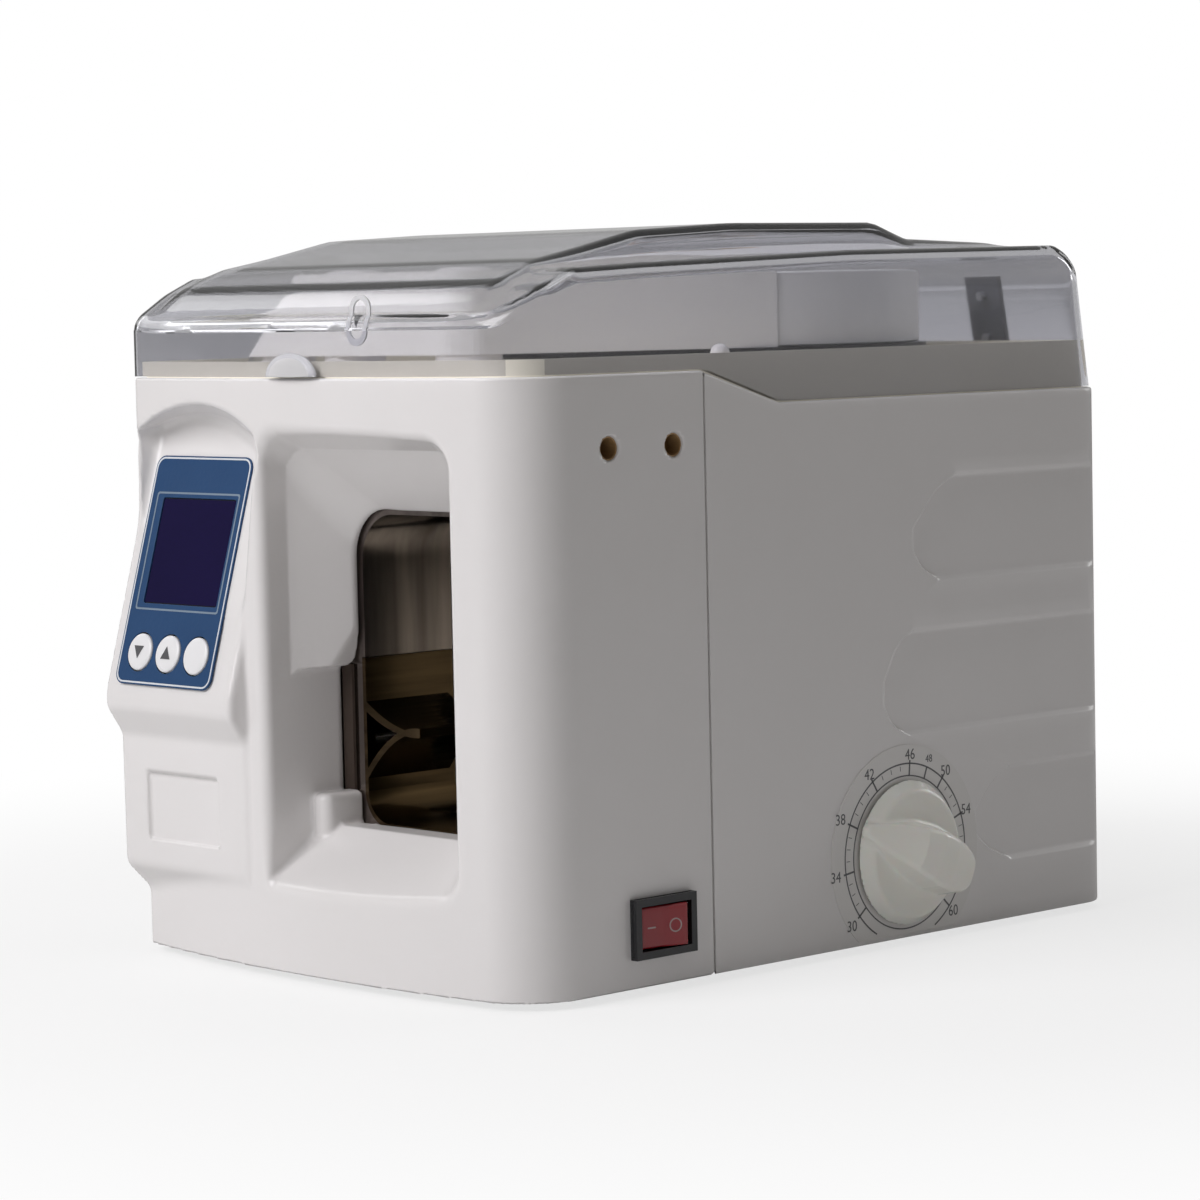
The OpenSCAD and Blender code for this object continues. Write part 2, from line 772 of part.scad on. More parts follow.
module hinge_brackets() {
    color("#8f9296")
        for (side = [-1, 1]) {
            difference() {
                union() {
                    translate([side * hinge_pitch / 2 - leaf_w / 2 - 4, body_d + snug,
                        rear_h - 18]) cube([leaf_w + 8, 1.6, 16]);
                    for (end = [-1, 1])
                        bracket_ear(side * hinge_pitch / 2
                            + end * (leaf_w / 2 + air + 1.5) - 1.5);
                }
                rod_x(hinge_y, hinge_z, hinge_pin_r + snug, -body_w, body_w);
                for (dz = [-6, -14])
                    rod_y(side * hinge_pitch / 2, rear_h + dz, screw_r + snug,
                        body_d - 1, body_d + 5);
            }
            for (dz = [-6, -14])
                translate([side * hinge_pitch / 2, body_d + 1.6 + snug, rear_h + dz])
                    rotate([90, 0, 0]) screw(screw_r, 1.2, 7);
        }
}

module bracket_ear(x0) {
    rod_x(hinge_y, hinge_z, knuckle_r, x0, x0 + 3);
    side_view(x0, x0 + 3) polygon([[body_d + 0.9, rear_h - 2.5], [body_d + 0.4, rear_h - 16],
        [body_d + 1.6, rear_h - 18], [hinge_y + knuckle_r, hinge_z],
        [hinge_y - 0.2, hinge_z + 0.2]]);
}

module hinge_pins() {
    color(steel)
        for (side = [-1, 1])
            rod_x(hinge_y, hinge_z, hinge_pin_r, side * hinge_pitch / 2 - leaf_w / 2 - 4.3,
                side * hinge_pitch / 2 + leaf_w / 2 + 4.3);
}

// ---------- reel and tape ----------

module reel_plate() {
    color(black) translate([0, spindle_y, reel_z]) difference() {
        union() {
            cylinder(r = roll_r + 2, h = reel_t, $fn = 128);
            cylinder(r = hub_r, h = reel_t + tape_w - 1);
        }
        translate([0, 0, -1]) cylinder(r = spindle_r + fit, h = 40);
        // three lightening pockets in the hub
        for (k = [0:2])
            rotate(120 * k) translate([(hub_r + spindle_r) / 2 + 0.5, 0, reel_t + 2])
                cylinder(r = 3.4, h = 40);
    }
}

module reel_spindle() {
    color(steel) translate([0, spindle_y, 0]) {
        translate([0, 0, deck_z + snug]) cylinder(r = spindle_r + 6, h = 4);
        translate([0, 0, deck_z - deck_t - 1]) cylinder(r = spindle_r, h = deck_t + tape_w + 7.8);
        translate([0, 0, deck_z - deck_t - 4]) cylinder(r = spindle_r + 4, h = 4 - snug);
    }
}

module spindle_nut() {
    color(plastic) translate([0, spindle_y, reel_z + reel_t + tape_w - 1 + air]) difference() {
        cylinder(r = spindle_r + 5, h = 2.2);
        translate([0, 0, -1]) cylinder(r = spindle_r + snug, h = 2.4);
    }
}

module tape_core() {
    color("#b98d5e") translate([0, spindle_y, roll_z + snug]) difference() {
        cylinder(r = core_r, h = tape_w);
        translate([0, 0, -1]) cylinder(r = core_r - core_t, h = tape_w + 2);
    }
}

module tape_roll() {
    color("#efeae2") translate([0, spindle_y, roll_z + snug]) difference() {
        cylinder(r = roll_r, h = tape_w, $fn = 128);
        translate([0, 0, -1]) cylinder(r = core_r + snug, h = tape_w + 2);
    }
}

// The tape's free run, as stations [one edge, other edge, outward normal]: off the roll,
// round the right roller, left to the turn bar, half a turn over the slanted bar, down
// through the deck with a quarter twist, between the feed rollers, and round a bend to the
// throat
run = [right_roller_x, roller_y] - [0, spindle_y];
run_r = guide_r + air + tape_t / 2;
roll_out = roll_r + air + tape_t / 2;
tan_a = atan2(run[1], run[0]) + acos((roll_out - run_r) / norm(run));
bend_r = 12.5;
twist_z0 = deck_z - 6;
twist_z1 = feed_z + 14;

function upright(p, a) = let (n = [cos(a), sin(a), 0])
    [concat(p, roll_z + tape_w + snug), concat(p, roll_z + snug), n];
function on_bar(a) = let (
    axis = [1, 0, 1] / sqrt(2),
    n = [-sin(a) / sqrt(2), -cos(a), sin(a) / sqrt(2)],
    along = -bar_turn * a * PI / 180,
    mid = [bar_x + bar_shift, bar_y, bar_z + snug] + along * axis + bar_turn * n)
    [mid + tape_w / sqrt(2) * axis, mid - tape_w / sqrt(2) * axis, n];
function dropping(z, a) = let (side = tape_w / 2 * [cos(a), sin(a), 0], mid = [bar_x, tape_y, z])
    [mid + side, mid - side, [-sin(a), cos(a), 0]];
function bending(x, z, a) = let (n = [cos(a), 0, sin(a)],
    mid = [x, tape_y, z], side = [0, tape_w / 2, 0]) [mid + side, mid - side, n];

stations = concat(
    [upright([0, spindle_y] + roll_out * [cos(tan_a), sin(tan_a)], tan_a)],
    [for (k = [0:6]) let (a = tan_a + (-90 - tan_a) * k / 6)
        upright([right_roller_x, roller_y] + run_r * [cos(a), sin(a)], a)],
    [for (k = [0:12]) on_bar(15 * k)],
    [for (k = [0:12]) dropping(twist_z0 + (twist_z1 - twist_z0) * k / 12, 7.5 * k)],
    [for (k = [0:8]) let (a = 180 + 90 * k / 8)
        bending(bar_x + bend_r + bend_r * cos(a), seal_z + bend_r + bend_r * sin(a), a)],
    [bending(throat_x - 2, seal_z, 270)]);

module tape_lead() {
    half = tape_t / 2;
    points = [for (s = stations)
        each [s[0] + half * s[2], s[0] - half * s[2], s[1] - half * s[2], s[1] + half * s[2]]];
    last = len(stations) - 1;
    color("#f1ece2") polyhedron(points, concat(
        [[0, 1, 2], [0, 2, 3], [4 * last + 2, 4 * last + 1, 4 * last],
            [4 * last + 3, 4 * last + 2, 4 * last]],
        [for (k = [0:last - 1], i = [0:3])
            [4 * k + i, 4 * k + 4 + i, 4 * k + (i + 1) % 4]],
        [for (k = [0:last - 1], i = [0:3])
            [4 * k + (i + 1) % 4, 4 * k + 4 + i, 4 * k + 4 + (i + 1) % 4]]));
}

sensor_x = half_w - 7.2;
sensor_y = 74;

module tape_sensor() {
    color(plastic) translate([sensor_x - 1, sensor_y, deck_z + snug]) {
        cylinder(r = 2.5, h = 5.4);
        translate([0, 0, 5.4]) intersection() {
            sphere(r = 2.5);
            cylinder(r = 3, h = 3);
        }
    }
}

module turn_bar_rod(r, extra) {
    translate([bar_x + bar_shift / 2, bar_y, bar_z - bar_shift / 2]) rotate([0, 45, 0])
        translate([0, 0, -bar_len / 2 - extra]) cylinder(r = r, h = bar_len + 2 * extra);
}

module guide_bracket() {
    foot_x = bar_x - 4;
    gusset_x = bar_x + bar_shift + tape_w / 2 + 1;
    axis_z = bar_z - bar_x - bar_shift;         // the bar's axis is at z = x + axis_z
    color(plastic) {
        difference() {
            union() {
                translate([gusset_x - 4, lane_y + 1.1, deck_z + snug])
                    cube([right_roller_x + 9 - gusset_x + 4, 2 * guide_r, 3.2]);
                // gusset under the turn bar, between the tape's two runs
                front_view(bar_y - 1.4, bar_y + 1.4) polygon([[foot_x, deck_z + snug],
                    [foot_x, foot_x + axis_z], [gusset_x - 1, gusset_x - 1 + axis_z],
                    [gusset_x, gusset_x - 1 + axis_z], [gusset_x, deck_z + snug]]);
            }
            turn_bar_rod(bar_r + snug, 5);
        }
        for (x = [left_roller_x, right_roller_x])
            translate([x, roller_y, deck_z + 3]) {
                cylinder(r = 2, h = tape_w + 1.8);
                cylinder(r = 4, h = 0.9);
            }
    }
}

module turn_bar() {
    color(steel) turn_bar_rod(bar_r, 0);
}

module guide_roller(x) {
    translate([x, roller_y, roller_z]) difference() {
        union() {
            cylinder(r = guide_r, h = tape_w + 1.4);
            translate([0, 0, tape_w + 1.4]) intersection() {
                cylinder(r = guide_r - 0.6, h = 3);
                translate([0, 0, -12.5]) sphere(r = 14.8);
            }
        }
        translate([0, 0, -1]) cylinder(r = 2 + fit, h = tape_w + 3);
    }
}

module guide_roller_left() {
    color(plastic) guide_roller(left_roller_x);
}

module guide_roller_right() {
    color(plastic) guide_roller(right_roller_x);
}

// ---------- console ----------

module console_overlay() {
    color("#1f5182") on_console() difference() {
        translate([overlay_x, -overlay_t - snug, overlay_z])
            cube([overlay_w, overlay_t, overlay_h]);
        translate([lcd_x, -2, lcd_z]) cube([lcd_w, 4, lcd_h]);
        for (k = [0:2])
            translate([key_x + k * key_pitch, 2, key_z]) rotate([90, 0, 0])
                cylinder(d = key_d + 2 * air, h = 5);
    }
}

module lcd_module() {
    color("#16123a") on_console() {
        translate([lcd_x + 0.3, -0.3, lcd_z + 0.3])
            cube([lcd_w - 0.6, wall + 0.8, lcd_h - 0.6]);
        translate([lcd_x - 2.5, wall + snug, lcd_z - 2.5]) cube([lcd_w + 5, 2.5, lcd_h + 5]);
    }
}

module console_board() {
    color("#1f6b3a") on_console() {
        translate([overlay_x + 0.5, board_y, 2]) cube([overlay_w - 1, 1.6, overlay_h - 6]);
        // posts to the display, and a switch under each key
        for (x = [lcd_x + 2, lcd_x + lcd_w - 2], z = [lcd_z + 2, lcd_z + lcd_h - 2])
            translate([x, board_y + 0.1, z]) rotate([90, 0, 0])
                cylinder(r = 1.5, h = board_y + 0.1 - wall - 2.5 - 2 * snug);
        for (k = [0:2])
            translate([key_x + k * key_pitch - 3, board_y - key_switch_h, key_z - 3])
                cube([6, key_switch_h + eps, 6]);
    }
}

module key(k) {
    on_console() translate([key_x + k * key_pitch, -overlay_t - key_proud, key_z])
        rotate([-90, 0, 0]) cylinder(d = key_d, h = key_len);
}

module down_key() {
    color("#f3f3f5") key(0);
}

module up_key() {
    color("#f3f3f5") key(1);
}

module clear_key() {
    color("#f3f3f5") key(2);
}

// ---------- frame plates and throat ----------

module liner_outline(grow) {
    rounded_rect(throat_x - grow, throat_z - grow, throat_w + 2 * grow,
        throat_h + 2 * grow, throat_r_top + grow, throat_r_low + grow);
}

lip_z = split_z - 18.4;

// One lip of the steel nose, from the lining's left side to the tip: a quadratic curve
module lip(rise) {
    steps = 10;
    function at(s) = [throat_x + lip_reach * s, lip_z + rise * pow(1 - s, 2)];
    outer = [for (k = [0:steps]) at(k / steps)];
    inner = [for (k = [0:steps]) at((steps - k) / steps)
        - [0, sign(rise) * liner_t * (1 + 1.2 * k / steps)]];
    polygon(concat(outer, inner));
}

module throat_wall(z0, z1) {
    front_view(throat_y, liner_end) intersection() {
        difference() {
            liner_outline(liner_t);
            liner_outline(0);
        }
        translate([throat_x - 9, z0]) square([throat_w + 18, z1 - z0]);
    }
}

module arch_upper() {
    color(dark_steel) throat_wall(split_z + 0.1, throat_top + 5);
}

module arch_lower() {
    color(dark_steel) difference() {
        union() {
            throat_wall(throat_z - 5, split_z - 0.1);
            front_view(throat_y, liner_end - 2) {
                lip(7);
                lip(-13);
            }
        }
        // the slot through which the tape enters
        translate([throat_x - 4, tape_y - tape_w / 2 - 1, seal_z - 1.2])
            cube([4.6, tape_w + 2, 2.4]);
    }
}

module plate_outline() {
    difference() {
        translate([plate_x0, floor_z]) square([plate_x1 - plate_x0, plate_top - floor_z]);
        translate([switch_back - 2, 0]) square([body_w, switch_z + switch_h / 2 + 2]);
        liner_outline(liner_t + snug);
    }
}

spacer_spots = [[plate_x0 + 6, 8], [min(plate_x1 - 5, switch_back - 6), 12],
    [plate_x0 + 6, plate_top - 8],
    [plate_x1 - 5, plate_top - 6]];

module shaft_holes(y0, y1, r) {
    rod_y(feed_x, feed_z, r, y0, y1);
    rod_y(pinch_x, feed_z, r, y0, y1);
}

module frame_front() {
    color(steel) difference() {
        front_view(plate_y, plate_y + plate_t) plate_outline();
        shaft_holes(plate_y - 1, plate_y + plate_t + 1, shaft_r + fit);
    }
}

module frame_rear() {
    color(steel) difference() {
        front_view(rear_plate_y, rear_plate_y + plate_t) plate_outline();
        shaft_holes(rear_plate_y - 1, rear_plate_y + plate_t + 1, shaft_r + fit);
        for (side = [-1, 1])
            rod_y(throat_cx + side * rod_pitch / 2, rod_z, rod_r + snug, rear_plate_y - 1,
                rear_plate_y + plate_t + 1);
    }
}

module frame_spacers() {
    color(steel)
        for (p = spacer_spots)
            rod_y(p[0], p[1], 3.5, plate_y + plate_t, rear_plate_y);
}

gear_plate_x1 = feed_x + 18;

module gear_plate() {
    color(steel) {
        difference() {
            translate([plate_x0, gear_plate_y, feed_motor_z - 12])
                cube([gear_plate_x1 - plate_x0, plate_t, feed_z + 16 - feed_motor_z + 12]);
            rod_y(feed_x, feed_z, shaft_r + fit, gear_plate_y - 1, gear_plate_y + plate_t + 1);
            rod_y(feed_x, feed_motor_z, 5, gear_plate_y - 1, gear_plate_y + plate_t + 1);
        }
        for (x = [plate_x0 + 3, gear_plate_x1 - 3], z = [feed_motor_z - 9, feed_z + 13])
            rod_y(x, z, 2.5, rear_plate_y + plate_t, gear_plate_y + eps);
    }
}

// ---------- bundle bed, stop and its drive ----------

module note_bed() {
    color(steel) difference() {
        union() {
            translate([throat_x + 2, liner_end + snug, bed_z])
                cube([throat_w - 4, bed_end - liner_end, bed_t]);
            for (x = [throat_x + 2, throat_x + throat_w - 2 - bed_t])
                translate([x, liner_end + 6, floor_z])
                    cube([bed_t, bed_end - liner_end - 8, bed_z + eps - floor_z]);
        }
        translate([throat_cx - rack_w / 2 - 0.5, liner_end + 4, bed_z - 1])
            cube([rack_w + 1, bed_end - liner_end, bed_t + 2]);
    }
}

module note_stop() {
    color("#d8d8da") {
        translate([throat_x + 4, stop_y, throat_z + 2.3])
            cube([throat_w - 8, stop_t, throat_h - 8]);
        translate([throat_cx - rack_w / 2 + 0.5, stop_y, carriage_z + carriage_h])
            cube([rack_w - 1, 12, throat_z + 2.3 - carriage_z - carriage_h]);
    }
}

module stop_carriage() {
    color(black) difference() {
        translate([throat_cx - rod_pitch / 2 - 6, stop_y + stop_t, carriage_z])
            cube([rod_pitch + 12, carriage_l, carriage_h]);
        for (side = [-1, 1])
            rod_y(throat_cx + side * rod_pitch / 2, rod_z, rod_r + fit,
                stop_y, stop_y + carriage_l + 9);
    }
}

rack_y0 = stop_y + stop_t + carriage_l;
rack_l = knob_y + 18 - rack_y0;

// The rack's teeth point down at the pinion; a gap stands over the knob's axis at rest
module stop_rack() {
    pitch = PI * gear_m;
    half = (pitch / 2 - backlash / 2) / 2;
    lean = tan(pressure) * gear_m;
    first = ceil((rack_y0 + 6 - knob_y) / pitch);
    last = floor((rack_y0 + rack_l - 2 - knob_y) / pitch) - 1;
    color(plastic) side_view(throat_cx - rack_w / 2, throat_cx + rack_w / 2) {
        translate([rack_y0, rack_z + 1.25 * gear_m]) square([rack_l, 3]);
        for (k = [first:last])
            translate([knob_y + (k + 0.5) * pitch, rack_z])
                polygon([[-half - 1.25 * lean, 1.25 * gear_m + eps], [-half + lean, -gear_m],
                    [half - lean, -gear_m], [half + 1.25 * lean, 1.25 * gear_m + eps]]);
    }
}

module guide_rods() {
    color(steel)
        for (side = [-1, 1])
            rod_y(throat_cx + side * rod_pitch / 2, rod_z, rod_r, rear_plate_y,
                rod_end_y + 2);
}

module drive_brackets() {
    color(steel) {
        // rear bracket of the guide rods
        difference() {
            translate([throat_cx - rod_pitch / 2 - 7, rod_end_y, floor_z])
                cube([rod_pitch + 14, 2, rod_z + 7 - floor_z]);
            for (side = [-1, 1])
                rod_y(throat_cx + side * rod_pitch / 2, rod_z, rod_r + snug, rod_end_y - 1,
                    rod_end_y + 3);
        }
        translate([throat_cx - rod_pitch / 2 - 7, rod_end_y + 2 - eps, floor_z])
            cube([rod_pitch + 14, 10, 2]);
        // inner bearing of the knob's shaft
        difference() {
            union() {
                translate([throat_cx - 11, knob_y - 8, floor_z])
                    cube([3, 16, knob_z + shaft_r + 1.2 - floor_z]);
                translate([throat_cx - 20, knob_y - 8, floor_z]) cube([9.1, 16, 2]);
            }
            rod_x(knob_y, knob_z, shaft_r + fit, throat_cx - 13, throat_cx - 6);
        }
    }
}

// ---------- feed ----------

module feed_roller() {
    color(black) rod_y(feed_x, feed_z, feed_r, tape_y - tape_w / 2 - 1,
        tape_y + tape_w / 2 + 1);
    color(steel) {
        rod_y(feed_x, feed_z, shaft_r, plate_y - 1.5, gear_plate_y + plate_t + 1);
        translate([feed_x, gear_y + gear_w, feed_z]) rotate([90, 0, 0]) rotate(90)
            rotate(180 / feed_n * (1 - feed_n % 2)) linear_extrude(gear_w)
                gear_shape(gear_m, feed_n);
    }
}

module pinch_roller() {
    color("#c8c4bc") rod_y(pinch_x, feed_z, pinch_r, tape_y - tape_w / 2 - 1,
        tape_y + tape_w / 2 + 1);
    color(steel) rod_y(pinch_x, feed_z, shaft_r, plate_y - 1.5,
        rear_plate_y + plate_t + 0.4);
}

module motor(r, l) {
    difference() {
        union() {
            cylinder(r = r, h = l);
            translate([0, 0, l]) cylinder(r = 4.5, h = 1.4);
        }
        translate([0, 0, 6]) cylinder(r = 1.15 + fit, h = l);
    }
}

module feed_motor() {
    color(steel) translate([feed_x, gear_plate_y + plate_t + 31, feed_motor_z])
        rotate([90, 0, 0]) motor(12, 31);
}

module feed_pinion() {
    color(brass) translate([feed_x, gear_y + gear_w, feed_motor_z]) rotate([90, 0, 0]) {
        rotate(90) linear_extrude(gear_w) gear_shape(gear_m, motor_n);
        translate([0, 0, -22]) cylinder(r = 1.15, h = 22 + eps);
    }
}

// ---------- sealing head ----------

module tape_channel() {
    color("#c8c4bc") {
        // anvil over the sealing line
        translate([bar_x + bend_r + 2, plate_y + plate_t, seal_z + 0.45])
            cube([cheek_right - bar_x - bend_r - 2.3, plate_gap, 9]);
        // outer guide of the bend
        front_view(plate_y + plate_t, rear_plate_y) difference() {
            translate([bar_x - 3, seal_z - 3]) square([bend_r + 3, bend_r + 3]);
            translate([bar_x + bend_r, seal_z + bend_r]) circle(r = bend_r + 0.5);
        }
    }
}

slide_y = plate_y + plate_t + air;  // the followers run between the frame plates
slide_w = plate_gap - 2 * air;
clamp_x = bar_x + bend_r + 4;
heater_x = clamp_x + 9;
cutter_x = heater_x + 11.5;

// A cam disc whose lobe points `turn` degrees off the top
module cam(x, turn) {
    translate([x, cam_y, cam_z]) rotate([turn, 0, 0]) rotate([0, 90, 0])
        linear_extrude(3) {
            circle(r = cam_r);
            translate([-lobe_off, 0]) circle(r = lobe_r);
            polygon([[-lobe_r / 2 - lobe_off / 1.6, lobe_r * 0.8],
                [-cam_r * 0.53, cam_r * 0.84], [-cam_r * 0.53, -cam_r * 0.84],
                [-lobe_r / 2 - lobe_off / 1.6, -lobe_r * 0.8]]);
        }
}

module camshaft() {
    color(steel) {
        rod_x(cam_y, cam_z, shaft_r, cam_x0 - 1.5, cheek_right + cheek_t + 1);
        cam(clamp_x + 1, 135);
        cam(heater_x + 2.5, 225);
        cam(cutter_x - 1.2, 315);
        translate([cam_x0, cam_y, cam_z]) rotate([0, 90, 0])
            rotate(180 / cam_n) linear_extrude(5) gear_shape(gear_m, cam_n);
    }
}

module cam_cheeks() {
    color(steel)
        for (x = [cheek_left, cheek_right])
            difference() {
                translate([x, plate_y + plate_t, cam_motor_z - 12])
                    cube([cheek_t, plate_gap, (x == cheek_left ? seal_z - 3.2 : seal_z - 2.4)
                        - cam_motor_z + 12]);
                rod_x(cam_y, cam_z, shaft_r + fit, x - 1, x + cheek_t + 1);
                rod_x(cam_y, cam_motor_z, 5, x - 1, x + cheek_t + 1);
            }
}

module cam_motor() {
    color(steel) translate([cheek_left + cheek_t + 28, cam_y, cam_motor_z])
        rotate([0, -90, 0]) motor(9.5, 28);
}

module cam_pinion() {
    color(brass) translate([cam_x0, cam_y, cam_motor_z]) rotate([0, 90, 0]) {
        rotate(180) linear_extrude(5) gear_shape(gear_m, cam_pinion_n);
        translate([0, 0, 5 - eps]) cylinder(r = 1.15, h = 22);
    }
}

// A follower: a bar across the tape on a narrow stem over its cam
module follower(x, w, tip) {
    translate([x, slide_y, slide_top - 6]) cube([w, slide_w, 6 - tip]);
    translate([x + w / 2 - min(w, 3) / 2, cam_y - 1, slide_rest])
        cube([min(w, 3), 2, slide_top - 6 - slide_rest + eps]);
}

module tape_clamp() {
    color(steel) follower(clamp_x, 5, 0);
}

module heater_block() {
    color(brass) follower(heater_x, 8, 0);
}

module cutter_blade() {
    color("#b9bcc0") {
        follower(cutter_x, 0.8, 1);
        translate([cutter_x, slide_y, slide_top - 1 - eps])
            rotate([90, 0, 90]) linear_extrude(0.8)
                polygon([for (k = [0:14]) [k * slide_w / 14, k % 2],
                    [slide_w, -0.5], [0, -0.5]]);
    }
}

// ---------- power switch ----------

module switch_body() {
    color(black) {
        difference() {
            union() {
                translate([half_w + snug, switch_y - switch_w / 2, switch_z - switch_h / 2])
                    cube([2.2, switch_w, switch_h]);
                translate([half_w - switch_in, switch_y - switch_body_w / 2,
                    switch_z - switch_body_h / 2])
                    cube([switch_in + 0.1, switch_body_w, switch_body_h]);
            }
            translate([pivot_x - 8, switch_y - well_w / 2, switch_z - well_h / 2])
                cube([20, well_w, well_h]);
        }
        translate([pivot_x, switch_y, switch_z - well_h / 2 - 0.4])
            cylinder(r = 1, h = well_h + 0.8);
        for (dy = [-5, 5])
            translate([switch_back, switch_y + dy - 2.4, switch_z - 0.4])
                cube([7.1, 4.8, 0.8]);
    }
}

// The rocker, tipped so that its front end is pressed in
module switch_rocker() {
    color("#a62a2e") translate([pivot_x, switch_y, switch_z - well_h / 2 + air])
        rotate(-rocker_half) difference() {
            linear_extrude(well_h - 2 * air) polygon([[2, -well_w * 0.424],
                [5.4, -well_w * 0.424], [4.7, 0], [5.4, well_w * 0.424],
                [2, well_w * 0.424], [-4, 3], [-4, -3]]);
            translate([0, 0, -1]) cylinder(r = 1 + fit, h = well_h + 2);
        }
}

// ---------- band position knob ----------

module dial_scale() {
    color("#dedbd6") difference() {
        rod_x(knob_y, knob_z, scale_r, half_w + snug, half_w + 0.3);
        rod_x(knob_y, knob_z, 5.6, half_w - 1, half_w + 1);
        translate([half_w - 1, knob_y - 50, -50]) cube([2, 100, 51.2]);
    }
}

grip_w = 13;

module position_knob() {
    color("#e8e4da") translate([knob_x, knob_y, knob_z]) rotate([0, 90, 0]) rotate([0, 0, 180])
        difference() {
            union() {
                cylinder(r1 = knob_r, r2 = knob_r - 0.8, h = 6);
                // the grip bar's narrow end points to the middle mark
                rotate(rest_mark - 180) translate([0, 0, 6 - eps])
                    linear_extrude(knob_out - 6 + eps) polygon([[0, knob_r + 2],
                        [grip_w * 0.28, knob_r * 0.55], [grip_w / 2, -knob_r * 0.62],
                        [grip_w * 0.36, -knob_r * 0.9], [-grip_w * 0.36, -knob_r * 0.9],
                        [-grip_w / 2, -knob_r * 0.62], [-grip_w * 0.28, knob_r * 0.55]]);
            }
            translate([0, 0, -1]) cylinder(r = shaft_r + snug, h = 13);
        }
}

module knob_shaft() {
    color(steel) rod_x(knob_y, knob_z, shaft_r, throat_cx - 12, knob_x + 11.5);
    color(plastic) translate([throat_cx - rack_w / 2 - 0.2, knob_y, knob_z])
        rotate([0, 90, 0]) rotate(180) linear_extrude(rack_w + 0.4)
            gear_shape(gear_m, pinion_n);
}

module knob_bush() {
    color(brass) difference() {
        union() {
            rod_x(knob_y, knob_z, 5, half_w - wall - 6, half_w + 0.6);
            rod_x(knob_y, knob_z, 8, half_w - wall - 3, half_w - wall - snug);
        }
        rod_x(knob_y, knob_z, shaft_r + fit, half_w - wall - 7, half_w + 2);
    }
}

// ---------- power ----------

power_x = left_x + 10;
pcb_w = 54;
pcb_l = 46;
pcb_t = 1.6;
pcb_y = seam_y + 11;
post_h = 5;
coil_w = 46;
coil_l = 40;
coil_h = 34;

module transformer() {
    color("#9a9ca0") translate([power_x, pcb_y + pcb_l + 10, floor_z]) {
        cube([coil_w, coil_l, coil_h]);
        translate([-3, coil_l / 5, 0]) cube([coil_w + 6, coil_l * 0.6, 2]);
    }
}

// Circuit board on four posts
module main_board() {
    color("#1f6b3a") translate([power_x, pcb_y, floor_z + post_h]) cube([pcb_w, pcb_l, pcb_t]);
    color(steel)
        for (x = [power_x + 4, power_x + pcb_w - 4], y = [pcb_y + 4, pcb_y + pcb_l - 4])
            translate([x, y, floor_z]) cylinder(r = 2.5, h = post_h + eps);
    color(black) translate([power_x + 10, pcb_y + 12, floor_z + post_h + pcb_t - eps]) {
        cube([10, 16, 2.4]);
        translate([22, -4, 0]) cube([12, 8, 9]);
        translate([22, 12, 0]) cube([8, 8, 12]);
    }
}

module inlet_socket() {
    color(black) translate([inlet_x, body_d, inlet_z]) difference() {
        union() {
            translate([-15.5, snug, -12]) cube([31, 2, 24]);
            translate([-13.5, -16, -10]) cube([27, 16.1, 20]);
        }
        translate([-12.2, -14.5, -8.3]) cube([24.4, 20, 16.6]);
    }
    color(brass)
        for (p = [[-7, -1.5], [7, -1.5], [0, 2.5]])
            translate([inlet_x + p[0] - 1, body_d - 15, inlet_z + p[1] - 2])
                cube([2, 12, 4]);
}

// Moves the model to the origin at the middle of its box's underside
module placed() {
    translate([-(box_x0 + box_x1) / 2, -(box_y0 + box_y1) / 2, foot_out]) children();
}

placed() front_housing();
placed() rear_housing();
placed() base_plate();
placed() rubber_feet();
placed() base_screws();
placed() deck_tray();
placed() top_cover();
placed() hinge_leaves();
placed() hinge_brackets();
placed() hinge_pins();
placed() reel_plate();
placed() reel_spindle();
placed() spindle_nut();
placed() tape_core();
placed() tape_roll();
placed() tape_lead();
placed() tape_sensor();
placed() guide_bracket();
placed() turn_bar();
placed() guide_roller_left();
placed() guide_roller_right();
placed() console_overlay();
placed() lcd_module();
placed() console_board();
placed() down_key();
placed() up_key();
placed() clear_key();
placed() frame_front();
placed() frame_rear();
placed() frame_spacers();
placed() gear_plate();
placed() arch_upper();
placed() arch_lower();
placed() note_bed();
placed() note_stop();
placed() stop_carriage();
placed() stop_rack();
placed() guide_rods();
placed() drive_brackets();
placed() feed_roller();
placed() pinch_roller();
placed() feed_motor();
placed() feed_pinion();
placed() tape_channel();
placed() camshaft();
placed() cam_cheeks();
placed() cam_motor();
placed() cam_pinion();
placed() tape_clamp();
placed() heater_block();
placed() cutter_blade();
placed() switch_body();
placed() switch_rocker();
placed() dial_scale();
placed() position_knob();
placed() knob_shaft();
placed() knob_bush();
placed() transformer();
placed() main_board();
placed() inlet_socket();
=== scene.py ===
import itertools
import json
import math

import bmesh
import bpy
import numpy as np
from mathutils import Matrix, Vector


